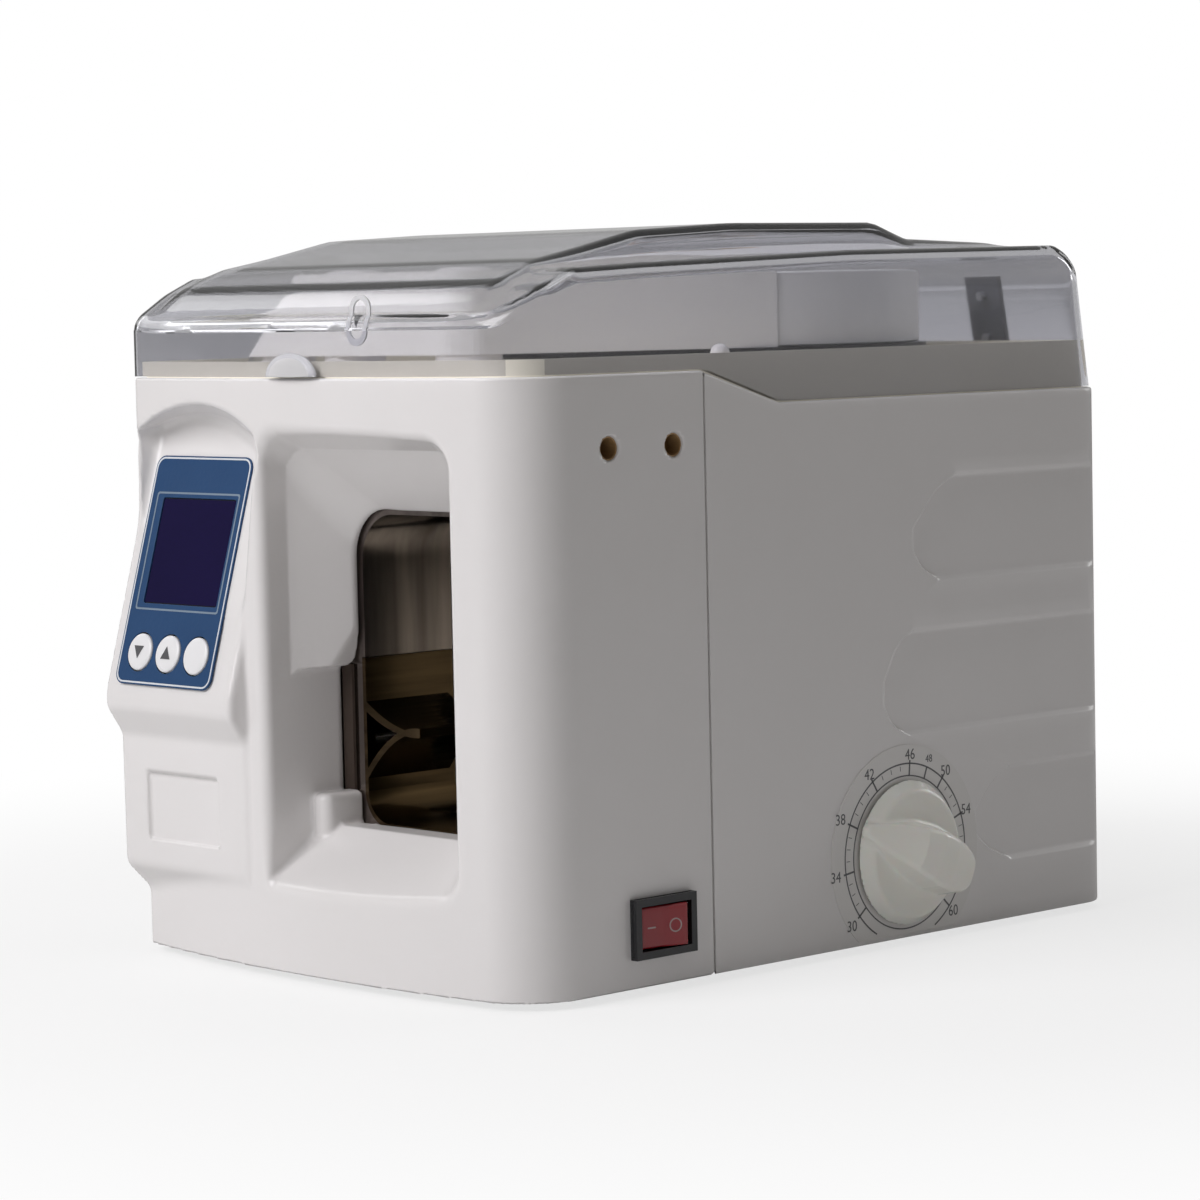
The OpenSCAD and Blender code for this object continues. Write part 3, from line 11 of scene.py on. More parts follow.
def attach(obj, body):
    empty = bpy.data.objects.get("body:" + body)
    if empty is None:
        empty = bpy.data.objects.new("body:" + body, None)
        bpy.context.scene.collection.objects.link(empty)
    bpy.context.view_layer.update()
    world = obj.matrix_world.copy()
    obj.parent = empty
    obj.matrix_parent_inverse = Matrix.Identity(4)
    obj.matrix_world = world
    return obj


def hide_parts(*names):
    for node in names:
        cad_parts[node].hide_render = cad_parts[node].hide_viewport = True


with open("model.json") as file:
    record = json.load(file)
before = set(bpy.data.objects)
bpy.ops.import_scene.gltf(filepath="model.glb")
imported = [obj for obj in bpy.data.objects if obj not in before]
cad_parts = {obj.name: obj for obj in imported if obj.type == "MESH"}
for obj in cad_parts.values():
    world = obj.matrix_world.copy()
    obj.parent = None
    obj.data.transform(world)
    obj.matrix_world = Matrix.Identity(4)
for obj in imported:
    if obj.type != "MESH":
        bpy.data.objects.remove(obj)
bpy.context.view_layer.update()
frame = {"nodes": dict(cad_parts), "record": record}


# ---------------------------------------------------------------- camera
# The maker's drawings count from the machine's front plane, its middle and the lower edge of the
# housing, in millimetres. The camera stands low in front of the right corner, with a long lens.

ORIGIN = np.array([-9.5, -106.472345, 2.0])   # drawing millimetres to the frame's millimetres


def to_frame(points):
    """Drawing millimetres, N by 3, as metres in the frame: add the origin, divide by 1000."""
    return (np.asarray(points, float) + ORIGIN) / 1000


def camera_axes(yaw, pitch, roll):
    """Right, up and backward axes: yaw about Z, pitch down, then roll about the line of sight."""
    ahead = np.array([-math.sin(yaw) * math.cos(pitch), math.cos(yaw) * math.cos(pitch),
                      -math.sin(pitch)])
    level = np.array([math.cos(yaw), math.sin(yaw), 0.0])
    top = np.cross(level, ahead)
    right = math.cos(roll) * level + math.sin(roll) * top
    up = math.cos(roll) * top - math.sin(roll) * level
    return np.stack([right, up, -ahead], axis=1)


camera = bpy.data.objects.new("camera", bpy.data.cameras.new("camera"))
bpy.context.scene.collection.objects.link(camera)
camera.data.sensor_width = 36
camera.data.lens = 116.67
camera.data.clip_start, camera.data.clip_end = 0.05, 20
axes = camera_axes(*np.radians([46.497, 4.436, -1.234]))
camera.matrix_world = Matrix.LocRotScale(
    to_frame([759.67, -624.33, 169.93]), Matrix(axes.tolist()).to_quaternion(), None)
bpy.context.scene.camera = camera


# ---------------------------------------------------------------- front housing
# The front half of the housing is one moulding of glossy off-white plastic: a bowed front, a
# console column with its arched pocket, and a funnel that leads a bundle into the throat. It is
# worked out as one solid with rounded edges, in drawing millimetres, and skinned.


def effect(name, inputs, outputs):
    """An empty node group with named sockets: (name, kind, default) in, (name, kind) out."""
    tree = bpy.data.node_groups.new(name, "ShaderNodeTree")
    for label, kind, value in inputs:
        socket = tree.interface.new_socket(label, in_out="INPUT", socket_type=kind)
        socket.default_value = value
    for label, kind in outputs:
        tree.interface.new_socket(label, in_out="OUTPUT", socket_type=kind)
    return tree


def wire(tree, kind, links, **values):
    """Adds a node of a kind, sets plain values, and links its inputs to (node, output) pairs."""
    node = tree.nodes.new(kind)
    for key, value in values.items():
        setattr(node, key, value)
    for socket, source in links.items():
        if isinstance(source, tuple) and isinstance(source[0], bpy.types.Node):
            tree.links.new(source[0].outputs[source[1]], node.inputs[socket])
        else:
            node.inputs[socket].default_value = source
    return node


FLOAT, COLOUR, VECTOR = "NodeSocketFloat", "NodeSocketColor", "NodeSocketVector"


def surface_effect(name, inputs, fields, distance):
    """A finish as a node group: a broad field mixes colour with shade and sways the roughness,
    and a fine one makes the relief, over a distance in metres."""
    tree = effect(name, inputs, [("Colour", COLOUR), ("Roughness", FLOAT), ("Normal", VECTOR)])
    given = wire(tree, "NodeGroupInput", {})
    broad, fine = fields(tree, given, wire(tree, "ShaderNodeTexCoord", {}))
    tint = wire(tree, "ShaderNodeMix", {0: (broad, "Fac"), 6: (given, "Colour"),
                                        7: (given, "Shade")}, data_type="RGBA")
    swing = wire(tree, "ShaderNodeMath", {0: (broad, "Fac"), 1: (given, "Uneven")},
                 operation="MULTIPLY")
    rough = wire(tree, "ShaderNodeMath", {0: (swing, 0), 1: (given, "Roughness")},
                 operation="ADD")
    relief = wire(tree, "ShaderNodeBump", {
        "Height": (fine, "Fac"), "Strength": (given, "Depth"), "Distance": distance})
    wire(tree, "NodeGroupOutput", {"Colour": (tint, 2), "Roughness": (rough, 0),
                                   "Normal": (relief, 0)})
    return tree


def grain_fields(tree, given, where):
    """Moulded plastic: a broad mottle, and a fine peel of its own scale."""
    return [wire(tree, "ShaderNodeTexNoise", {
        "Vector": (where, "Object"), "Scale": (given, scale), "Detail": detail})
        for scale, detail in (("Mottle", 3.0), ("Peel", 2.0))]


def line_fields(tree, given, where):
    """Drawn metal or wound paper: one noise, stretched into lines, serves as both fields."""
    drawn_out = wire(tree, "ShaderNodeVectorMath", {
        0: (where, "Object"), 1: (given, "Stretch")}, operation="MULTIPLY")
    streak = wire(tree, "ShaderNodeTexNoise", {
        "Vector": (drawn_out, 0), "Scale": 1.0, "Detail": 3.0})
    return streak, streak


grain = surface_effect("moulded_grain", [
    ("Colour", COLOUR, (0.8, 0.8, 0.8, 1)), ("Shade", COLOUR, (0.7, 0.7, 0.7, 1)),
    ("Mottle", FLOAT, 40), ("Roughness", FLOAT, 0.3), ("Uneven", FLOAT, 0.05),
    ("Peel", FLOAT, 700), ("Depth", FLOAT, 0.02)], grain_fields, 0.001)
lines = surface_effect("drawn_lines", [
    ("Colour", COLOUR, (0.6, 0.6, 0.6, 1)), ("Shade", COLOUR, (0.4, 0.4, 0.4, 1)),
    ("Stretch", VECTOR, (40, 1500, 1500)), ("Roughness", FLOAT, 0.25),
    ("Uneven", FLOAT, 0.15), ("Depth", FLOAT, 0.05)], line_fields, 0.0004)


def finish(name, tree, values, **own):
    """A material: one effect group feeds a Principled shader, whose own sockets take the rest."""
    material = bpy.data.materials.new(name)
    material.use_nodes = True
    nodes = material.node_tree
    shader = nodes.nodes["Principled BSDF"]
    group = wire(nodes, "ShaderNodeGroup", {}, node_tree=tree)
    for label, value in values.items():
        group.inputs[label].default_value = (
            (*value, 1) if label in ("Colour", "Shade") else value)
    nodes.links.new(group.outputs["Colour"], shader.inputs["Base Color"])
    nodes.links.new(group.outputs["Roughness"], shader.inputs["Roughness"])
    nodes.links.new(group.outputs["Normal"], shader.inputs["Normal"])
    for label, value in own.items():
        shader.inputs[label.replace("_", " ")].default_value = value
    return material


def moulded(name, colour, shade, roughness, mottle=30, depth=0.02, **own):
    """A plastic, rubber or lacquer finish."""
    return finish(name, grain, {"Colour": colour, "Shade": shade, "Mottle": mottle,
                                "Roughness": roughness, "Depth": depth}, **own)


def drawn(name, colour, shade, roughness, stretch=(40, 1500, 1500), depth=0.05, **own):
    """A metal or paper finish with lines along the axis that is stretched least."""
    own = {"Metallic": 1.0, **own}
    return finish(name, lines, {"Colour": colour, "Shade": shade, "Stretch": stretch,
                                "Roughness": roughness, "Depth": depth}, **own)


FINISH = {}


def dress(slot, material):
    """Gives the solids of a material slot their finish, and keeps it for the pieces made here."""
    FINISH[slot] = material
    for part in frame["record"]["subparts"]:
        if part["material_slot"] == slot:
            dress_node(part["node"], material)


def dress_node(node, material):
    """Gives one solid its finish."""
    held = frame["nodes"][node].data.materials
    held.clear()
    held.append(material)


dress("off_white_abs", moulded("off_white_abs", (0.82, 0.803, 0.80), (0.785, 0.768, 0.76), 0.2))


def round_and(a, b, r):
    """Where both solids are: the larger distance, with a round edge of radius r."""
    return np.minimum(np.maximum(a, b), -r) + np.hypot(np.maximum(a + r, 0),
                                                       np.maximum(b + r, 0))


def round_or(a, b, r):
    """Where either solid is: the smaller distance, less a quadratic fillet as wide as r."""
    h = np.maximum(r - np.abs(a - b), 0) / r
    return np.minimum(a, b) - h * h * r / 4


def box_distance(x, z, x0, x1, z0, z1, r):
    """Distance to a rectangle with corners of radius r, negative inside."""
    u = np.abs(x - (x0 + x1) / 2) - (x1 - x0) / 2 + r
    w = np.abs(z - (z0 + z1) / 2) - (z1 - z0) / 2 + r
    return np.hypot(np.maximum(u, 0), np.maximum(w, 0)) + np.minimum(np.maximum(u, w), 0) - r


def softened(points, low, high, spread):
    """A broken line through points, smoothed by a bell curve of that spread, as a function."""
    line = np.array(points, float)
    at = np.arange(low, high, 0.2)
    reach = np.arange(-3 * spread, 3 * spread + 0.1, 0.2)
    bell = np.exp(-0.5 * (reach / spread) ** 2)
    padded = np.interp(np.arange(low - 3 * spread, high + 3 * spread + 0.2, 0.2),
                       line[:, 0], line[:, 1])
    level = np.convolve(padded, bell / bell.sum(), "valid")[:len(at)]
    return lambda t: np.interp(t, at[:len(level)], level)


HALF, SEAM, FRONT_TOP = 77.0, 61.0, 151.5
BOW_R, BOW = 415.0, 7.6
LEFT_R, RIGHT_R = 3.2, 15.0
WALL = 2.5
COLUMN_X = -23.5
TILT = math.radians(16)
FACE = np.array([-12.3, 70.0])                # the console plane's nose: depth and height
MOUTH, THROAT = -20.0, 20.2                   # depths between which the bay narrows
SLOT = (-16, -2, 76.7)                        # the bay's lower left: sides and top
BLANK = (-66.4, -35.8, 29.4, 47.8)            # the blank panel under the console: x, then z
SIDE_HOLES, HOLE_Z, HOLE_R = (28, 50), 133.5, 3.0
SWITCH_HOLE = (32.6, 51.4, 8.5, 21.3)         # in the right side: y, then z
KEYS, KEY_UP = (13.2, 25.1, 37.0), 10.0       # the keys, along the console and up its plane
WINDOW = (-66.9, -35.5, 22.9, 51.9)           # the display's opening: x, then up the plane
column_face = softened([
    (-20, 9), (8, 9), (16.5, -1.5), (21.8, -6.8), (23.5, -7.4), (57.2, -7.6), (64.5, -12.3),
    (66.5, -12.5), (70, -12.15), (88, -7.1), (97, -4.6), (149, 10), (170, 16)], -25, 175, 0.7)


def plan_distance(x, y, inset=0.0):
    """Distance to the plan: an arc for the bow, cut by the sides with round corners."""
    arc = np.hypot(x, y - (BOW_R - BOW)) - BOW_R + inset
    right = round_and(arc, x - HALF + inset, RIGHT_R - inset)
    return round_and(right, -x - HALF + inset, LEFT_R - inset)


def column_distance(x, y, z):
    """The console column: behind its front profile, left of its right side."""
    slope = (column_face(z + 0.5) - column_face(z - 0.5))
    front = (column_face(z) - y) / np.hypot(1, slope)
    side = round_and(front, x - COLUMN_X, 1.8)
    return np.maximum(round_and(side, -x - HALF, 1.6), y - 12)


def sill(y):
    """Height of the bay's floor: it climbs from the mouth, then runs level to the throat."""
    return np.interp(y, [MOUTH, 12, THROAT], [12.4, 36, 36])


def funnel_distance(x, y, z):
    """The tapering bay: a round-cornered rectangle that shrinks from the mouth to the throat.

    Its left wall and ceiling run straight back for a little, then slant in to the throat."""
    u = np.clip((y + 7) / 27.2, 0, 1)
    left, right = np.interp(y, [1.5, THROAT], [-16, -8]), 54 - 8 * u
    low, high = sill(y), np.interp(y, [MOUTH, 1.5, THROAT], [144.9, 133.5, 116])
    cx, cz, hx, hz = (left + right) / 2, (low + high) / 2, (right - left) / 2, (high - low) / 2
    r = np.where(z > cz, 7 + 5 * u, 6 + 2 * u)
    a, b = np.abs(x - cx) - hx + r, np.abs(z - cz) - hz + r
    apart = np.hypot(np.maximum(a, 0), np.maximum(b, 0)) + np.minimum(np.maximum(a, b), 0) - r
    return apart * 0.9


def front_distance(x, y, z):
    """The whole moulding: an outer skin, hollowed, with the bay, pocket and openings cut in."""
    outer = round_or(plan_distance(x, y), column_distance(x, y, z), 1.6)
    outer = np.maximum(outer, -x - HALF)
    hollow = -(outer + WALL)
    tube = np.maximum(funnel_distance(x, y, z) - WALL - 3.0, y - 20.0)
    channel = np.maximum(box_distance(x, z, -16, -4, 27, SLOT[2], 1.5) - WALL, y - 20.0)
    inner = np.minimum(tube, channel)
    # the pocket: a scoop in front of the tilted plane, under a low arch, its right side flared
    ahead = -(y - FACE[0]) * math.cos(TILT) + (z - FACE[1]) * math.sin(TILT)
    arch = (np.hypot(x + 57.5 - 0.94 * ahead, z - 91.5 - 0.05 * ahead) - 50 - 0.2 * ahead) * 0.8
    flank = (x + 24.5 - 0.58 * ahead) * 0.86
    left = (-73.8 - x - 0.35 * ahead) * 0.94
    pocket = round_and(round_and(-ahead, arch, 2.6), round_and(flank, left, 1.0), 1.8)
    wall = np.maximum(outer, hollow)
    behind = np.maximum(pocket - WALL, ahead - 30)
    solid = np.maximum(np.minimum(np.minimum(wall, inner), behind), outer)
    solid = round_and(solid, -pocket, 0.9)
    # the bay's rim is broad at the left and the top, tight at the right and the sill
    broad = np.clip((10 - x) / 26, 0, 1) * np.clip((z - 24) / 12, 0, 1)
    slot = box_distance(x, z, *SLOT[:2], sill(y), SLOT[2], 2.0)
    bay = np.minimum(funnel_distance(x, y, z), slot)
    solid = round_and(solid, -bay, 1.7 + 1.2 * broad)
    # a small slanted facet where the left wall's lower edge meets the throat
    bevel = 0.955 * (x + 8) + 0.058 * (y - THROAT) - 0.292 * (z - 89.8)
    bevel = np.maximum(np.maximum(-bevel, 75 - z), np.maximum(x + 2, 8 - y))
    solid = round_and(solid, -bevel, 0.5)
    # the rib on the bay's floor, round at its front end
    rib = np.hypot(np.maximum(np.abs(x + 13) - 0.4, 0), np.minimum(y - 10.0, 0)) - 2.8
    rib = round_and(round_and(rib, z - 44.2, 1.8), y - 20, 0.3)
    solid = round_or(solid, np.maximum(rib, 30 - z), 1.6)
    # blank panel, side holes, switch opening, key holes and display window
    panel = box_distance(x, z, *BLANK, 0.8)
    blank = round_and(panel + 0.5 * (y - column_face(z)), y - column_face(z) - 1.3, 0.3) * 0.8
    solid = round_and(solid, -blank, 0.4)
    hole = np.minimum(*(np.hypot(y - depth, z - HOLE_Z) for depth in SIDE_HOLES)) - HOLE_R
    solid = round_and(solid, -np.maximum(hole, 60 - x), 0.4)
    switch = box_distance(y, z, *SWITCH_HOLE, 0.3)
    solid = np.maximum(solid, -np.maximum(switch, 60 - x))
    up = (z - FACE[1]) * math.cos(TILT) + (y - FACE[0]) * math.sin(TILT)
    for along in KEYS:
        key = np.hypot(x + HALF - along, up - KEY_UP) - 5.9
        solid = np.maximum(solid, -np.maximum(key, y - 6))
    window = box_distance(x, up, *WINDOW, 0.5)
    solid = np.maximum(solid, -np.maximum(window, y - 14))
    ends = round_and(z - FRONT_TOP, y - SEAM + 0.1, 0.4)
    return round_and(np.maximum(solid, -z), ends, 0.7)


def skin(distance, low, high, cell):
    """Surface nets: a point in each cell that the zero level crosses, at the mean of its edge
    crossings, then moved along the gradient onto the level. Returns points, quads, normals."""
    axes = [np.arange(a, b + cell, cell) for a, b in zip(low, high)]
    field = distance(*np.meshgrid(*axes, indexing="ij"))
    shape = np.array(field.shape)
    total = np.zeros((*(shape - 1), 3))
    count = np.zeros(shape - 1)
    for axis, a, b in itertools.product(range(3), (0, 1), (0, 1)):
        start = np.zeros(3, int)
        start[[k for k in range(3) if k != axis]] = a, b
        end = start + np.eye(3, dtype=int)[axis]
        f0, f1 = (field[tuple(slice(o, n - 1 + o) for o, n in zip(s, shape))]
                  for s in (start, end))
        crossed = (f0 < 0) != (f1 < 0)
        share = np.where(crossed, f0 / np.where(crossed, f0 - f1, 1), 0)
        total += crossed[..., None] * start + share[..., None] * (end - start)
        count += crossed
    used = count > 0
    number = np.full(used.shape, -1)
    number[used] = np.arange(used.sum())
    points = np.argwhere(used) + total[used] / count[used][:, None]
    points = np.array([a[0] for a in axes]) + cell * points
    quads = []
    for axis in range(3):
        one, two = (axis + 1) % 3, (axis + 2) % 3
        f0, f1 = np.moveaxis(field, axis, 0)[:-1], np.moveaxis(field, axis, 0)[1:]
        f0, f1 = np.moveaxis(f0, 0, axis), np.moveaxis(f1, 0, axis)
        at = np.argwhere((f0 < 0) != (f1 < 0))
        at = at[(at[:, one] > 0) & (at[:, two] > 0)
                & (at[:, one] < shape[one] - 1) & (at[:, two] < shape[two] - 1)]
        ring = []
        for da, db in ((1, 1), (0, 1), (0, 0), (1, 0)):
            cell_at = at.copy()
            cell_at[:, one] -= da
            cell_at[:, two] -= db
            ring.append(number[tuple(cell_at.T)])
        ring = np.stack(ring, axis=1)
        outward = (f0 < 0)[tuple(at.T)]
        quads.append(np.where(outward[:, None], ring, ring[:, ::-1]))
    for _ in range(3):
        level, slope = distance(*points.T), gradient(distance, points)
        step = np.clip(level / np.maximum((slope ** 2).sum(1), 0.2), -0.4 * cell, 0.4 * cell)
        points = points - step[:, None] * slope
    slope = gradient(distance, points)
    return points, np.concatenate(quads), slope / np.linalg.norm(slope, axis=1)[:, None]


def gradient(distance, points, step=0.05):
    """Central differences of a distance at points."""
    return np.stack([(distance(*(points + e).T) - distance(*(points - e).T)) / (2 * step)
                     for e in np.eye(3) * step], axis=1)


def piece(name, points, faces, body, slot, replaced=(), normals=None, flat=False, finish=None):
    """A mesh at its place in the frame, from drawing millimetres, riding on a body."""
    mesh = bpy.data.meshes.new(name)
    mesh.from_pydata(to_frame(points).tolist(), [],
                     faces.tolist() if isinstance(faces, np.ndarray) else faces)
    mesh.update()
    if not flat:
        mesh.polygons.foreach_set("use_smooth", np.ones(len(mesh.polygons), bool))
    if normals is not None:
        mesh.normals_split_custom_set_from_vertices(normals.tolist())
    made = bpy.data.objects.new(name, mesh)
    bpy.context.scene.collection.objects.link(made)
    made.data.materials.append(finish or FINISH[slot])
    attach(made, body)
    if replaced:
        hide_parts(*replaced)
    return made


points, quads, normals = skin(front_distance, (-79, -15, -2), (79, 63, 154), 1.05)
front_shell = piece("front_shell", points, quads, "machine", "off_white_abs",
                    ["front_housing"], normals)

# two tan bushes line the holes high on the right side: a square section carried round
tan_bush = moulded("tan_bush", (0.42, 0.27, 0.13), (0.36, 0.22, 0.10), 0.4)
BUSH_CUTS = 32
section = np.array([[2.62, 70.0], [2.62, 76.3], [2.95, 76.3], [2.95, 70.0]])
angle = np.linspace(0, 2 * np.pi, BUSH_CUTS, endpoint=False)
here = np.arange(4 * BUSH_CUTS).reshape(4, BUSH_CUTS)
ahead = np.roll(here, -1, axis=0)
bush_faces = np.stack([ahead, np.roll(ahead, -1, axis=1), np.roll(here, -1, axis=1), here],
                      -1).reshape(-1, 4)
for k, depth in enumerate(SIDE_HOLES):
    points = np.stack([np.repeat(section[:, 1], BUSH_CUTS),
                       depth + np.outer(section[:, 0], np.cos(angle)).ravel(),
                       HOLE_Z + np.outer(section[:, 0], np.sin(angle)).ravel()], 1)
    piece(f"bush_{k}", points, bush_faces, "machine", "ivory_abs", finish=tan_bush, flat=True)


# ---------------------------------------------------------------- rear housing
# The rear half is a second moulding of the same plastic, a deep shell that slides onto the front
# one along a fine seam. A shoulder drops behind the seam, and each side has three shallow grip
# panels. The wall is 2.4 mm thick.

BACK, REAR_R = 218.0, 10.0
REAR_TOP, SHOULDER = 142.7, 88.0
PANELS = ((16.5, 41.5), (54.0, 81.0), (94.0, 121.5))
PANEL_DEPTH, PANEL_SLOPE, PANEL_ROUND = 1.3, 1.6, 4.5
REAR_WALL, LIP_R = 2.4, 0.8
INLET, INLET_HALF = (-40, 26), (13.7, 10.2)   # the inlet's middle and half sizes: x, then z


def panel_edge(z):
    """Depth of the grip panels' front edges at height z: slanted, upright, slanted again.

    Near a panel's lower and upper end it draws back by a squared share, as a round corner."""
    depths = np.interp(z, [16.5, 24.5, 30.5, 41.5, 54, 62, 68, 81, 94, 102, 108, 121.5],
                       [171, 161, 161, 171.6, 129.7, 125.7, 125.7, 133, 143.6, 138, 138, 151])
    rounding = sum(np.clip(1 - np.abs(z - end) / PANEL_ROUND, 0, 1) ** 2 for panel in PANELS
                   for end in panel)
    return depths + PANEL_ROUND * rounding


def ramp(value, width):
    """From 0 to 1 over a width centred on 0, with soft ends: 3 t squared less 2 t cubed."""
    t = np.clip(np.asarray(value) / width + 0.5, 0, 1)
    return t * t * (3 - 2 * t)


def lattice(rows, columns, ring=False):
    """Quads of a grid of points in row order, joined round to the first column if it's a ring."""
    grid = np.arange(rows * columns).reshape(rows, columns)
    if ring:
        grid = np.concatenate([grid, grid[:, :1]], axis=1)
    return np.stack([grid[:-1, :-1], grid[:-1, 1:], grid[1:, 1:], grid[1:, :-1]],
                    axis=-1).reshape(-1, 4)


def steps(*marks, gap=4.0):
    """Values through the marks, with the stretches between them split into steps under gap."""
    made = [np.linspace(a, b, max(1, math.ceil(abs(b - a) / gap)) + 1)[:-1]
            for a, b in zip(marks[:-1], marks[1:])]
    return np.concatenate([*made, marks[-1:]])


def solid_wall(made, thick, sharp=35):
    """Gives an open sheet a wall on its inner side and applies it, with its edges kept sharp."""
    wall = made.modifiers.new("wall", "SOLIDIFY")
    wall.thickness, wall.offset, wall.use_even_offset = thick / 1000, -1, True
    ready = made.evaluated_get(bpy.context.evaluated_depsgraph_get())
    mesh = bpy.data.meshes.new_from_object(ready)
    made.modifiers.clear()
    made.data, old = mesh, made.data
    bpy.data.meshes.remove(old)
    mesh.set_sharp_from_angle(angle=math.radians(sharp))


def rear_wall():
    """The outer face, from the right seam round the back to the left one, row by row upwards.

    Columns on the sides stand at set distances from the panels' edges; rows above the panels are
    shared out up to the top edge, which is rounded by a quarter circle of radius 0.8."""
    edge_rows = [z + d for panel in PANELS for z in panel for d in (-0.8, -0.3, 0.3, 0.8)]
    rows = steps(0.5, *edge_rows[:4], 24.5, 30.5, *edge_rows[4:12], 62, 68,
                 *edge_rows[12:16], *edge_rows[16:20], 102, 108, *edge_rows[20:], 130, gap=4.5)
    rounds = [z + d for a, b in PANELS for z, d in ((a, 1.4), (a, 2.6), (b, -1.4), (b, -2.6))]
    rows = np.unique(np.append(rows, [15.8, 36.2, *rounds]))
    edge = panel_edge(rows)
    near = np.array([-2.4, -1.4, -0.8, -0.3, 0.3, 0.8, 1.4, 2.4])
    lead = np.linspace(SEAM + 0.1, SHOULDER, 7)
    up = np.linspace(0, 1, 6)[1:-1]
    side = np.concatenate([
        np.broadcast_to(lead, (len(rows), len(lead))),
        SHOULDER + (edge[:, None] + near[0] - SHOULDER) * up,
        edge[:, None] + near,
        edge[:, None] + near[-1] + (BACK - REAR_R - edge[:, None] - near[-1])
        * np.linspace(0, 1, 9)[1:]], axis=1)
    turn = np.radians(np.linspace(0, 90, 10))[1:-1]
    across = steps(HALF - REAR_R, 44, 32, 0, -26.3, -53.7, -(HALF - REAR_R), gap=7)
    corner = BACK - REAR_R + REAR_R * np.sin(turn)
    y = np.concatenate([side, np.broadcast_to(corner, (len(rows), len(corner))),
                        np.full((len(rows), len(across)), BACK),
                        np.broadcast_to(corner[::-1], (len(rows), len(corner))),
                        side[:, ::-1]], axis=1)
    x = np.concatenate([np.full(side.shape[1], HALF), HALF - REAR_R + REAR_R * np.cos(turn),
                        across, -(HALF - REAR_R + REAR_R * np.cos(turn))[::-1],
                        np.full(side.shape[1], -HALF)])
    x = np.broadcast_to(x, y.shape)
    inside = sum(ramp(rows - a, PANEL_SLOPE) * ramp(b - rows, PANEL_SLOPE) for a, b in PANELS)
    depth = PANEL_DEPTH * inside[:, None] * ramp(y - edge[:, None], PANEL_SLOPE)
    x = np.sign(x) * np.minimum(np.abs(x), HALF - depth)
    z = np.broadcast_to(rows[:, None], y.shape)
    # the rows over the panels follow the shoulder up to the rounded top edge
    top = np.interp(y[-1], [SEAM, SHOULDER], [151.1, REAR_TOP])
    angle = np.radians([0, 30, 60, 90])[:, None]
    nose = top - LIP_R + LIP_R * np.sin(angle)
    between = z[-1] + (nose[0] - z[-1]) * np.array([0.3, 0.6, 0.9])[:, None]
    inward = np.concatenate([np.zeros((3, 1)), LIP_R * (1 - np.cos(angle))])
    centre_y = np.clip(y[-1], None, BACK - REAR_R)
    centre_x = np.clip(x[-1], -(HALF - REAR_R), HALF - REAR_R)
    out = np.stack([x[-1] - centre_x, y[-1] - centre_y])
    out = out / np.maximum(np.hypot(*out), 1e-6)
    x = np.concatenate([x, x[-1] - inward * out[0]])
    y = np.concatenate([y, y[-1] - inward * out[1]])
    z = np.concatenate([z, between, nose])
    x = np.concatenate([x[:1] - 0.5 * out[0], x[:1] - 0.15 * out[0], x])
    y = np.concatenate([y[:1] - 0.5 * out[1], y[:1] - 0.15 * out[1], y])
    z = np.concatenate([np.zeros_like(z[:1]), np.full_like(z[:1], 0.15), z])
    faces = lattice(*x.shape)
    points = np.stack([x, y, z], axis=-1).reshape(-1, 3)
    middle = points[faces].mean(axis=1)
    inlet = ((np.abs(middle[:, [0, 2]] - INLET) < INLET_HALF).all(axis=1)
             & (middle[:, 1] > BACK - 1))
    return points, faces[~inlet]


points, faces = rear_wall()
rear_shell = piece("rear_shell", points, faces, "machine", "off_white_abs", ["rear_housing"])
solid_wall(rear_shell, REAR_WALL)


# ---------------------------------------------------------------- deck, reel and tape path
# Under the cover a cream tray carries the reel: a black plate on a steel spindle, a cardboard
# core and a full roll of 20 mm paper tape. Two white domed rollers lead the tape to the slanted
# bar. The tray's curb carries the cover, and a domed white sensor watches the roll.

dress("ivory_abs", moulded("ivory_abs", (0.80, 0.765, 0.66), (0.75, 0.71, 0.60), 0.35))
dress("black_plastic", moulded("black_plastic", (0.016, 0.017, 0.02), (0.024, 0.024, 0.026),
                               0.28))
dress("cardboard", drawn("cardboard", (0.48, 0.31, 0.17), (0.40, 0.25, 0.13), 0.8,
                         (500, 500, 90), 0.3, Metallic=0.0))
dress("paper", drawn("paper", (0.86, 0.85, 0.84), (0.76, 0.75, 0.74), 0.7, (600, 600, 4000),
                     0.15, Metallic=0.0))
REEL_Y, ROLL_Z, ROLL_R, CORE_R, TAPE_W = 133.0, 156.32, 62.0, 20.0, 20.0
ROLL_CUTS = 160


def turned(profile, around=96, centre=(0, 0, 0), axis=2):
    """A turned piece: a profile of (radius, height) carried round an axis, its poles closed.

    Point (r, h) at angle a is (r cos a, r sin a, h); another axis swaps the three in turn."""
    r, h = np.asarray(profile, float).T
    a = np.linspace(0, 2 * np.pi, around, endpoint=False)
    points = np.stack([r[:, None] * np.cos(a), r[:, None] * np.sin(a),
                       np.broadcast_to(h[:, None], (len(h), around))], axis=-1)
    faces = lattice(len(r), around, ring=True).tolist()
    points = np.roll(points.reshape(-1, 3), axis - 2, axis=1) + centre
    if r[0] < 1e-6:
        faces = [[*dict.fromkeys(q if q[0] >= around else [0, *q[2:]])] for q in faces]
    if r[-1] < 1e-6:
        last = around * (len(r) - 1)
        faces = [[*dict.fromkeys(i if i < last else last for i in q)] for q in faces]
    return points, faces


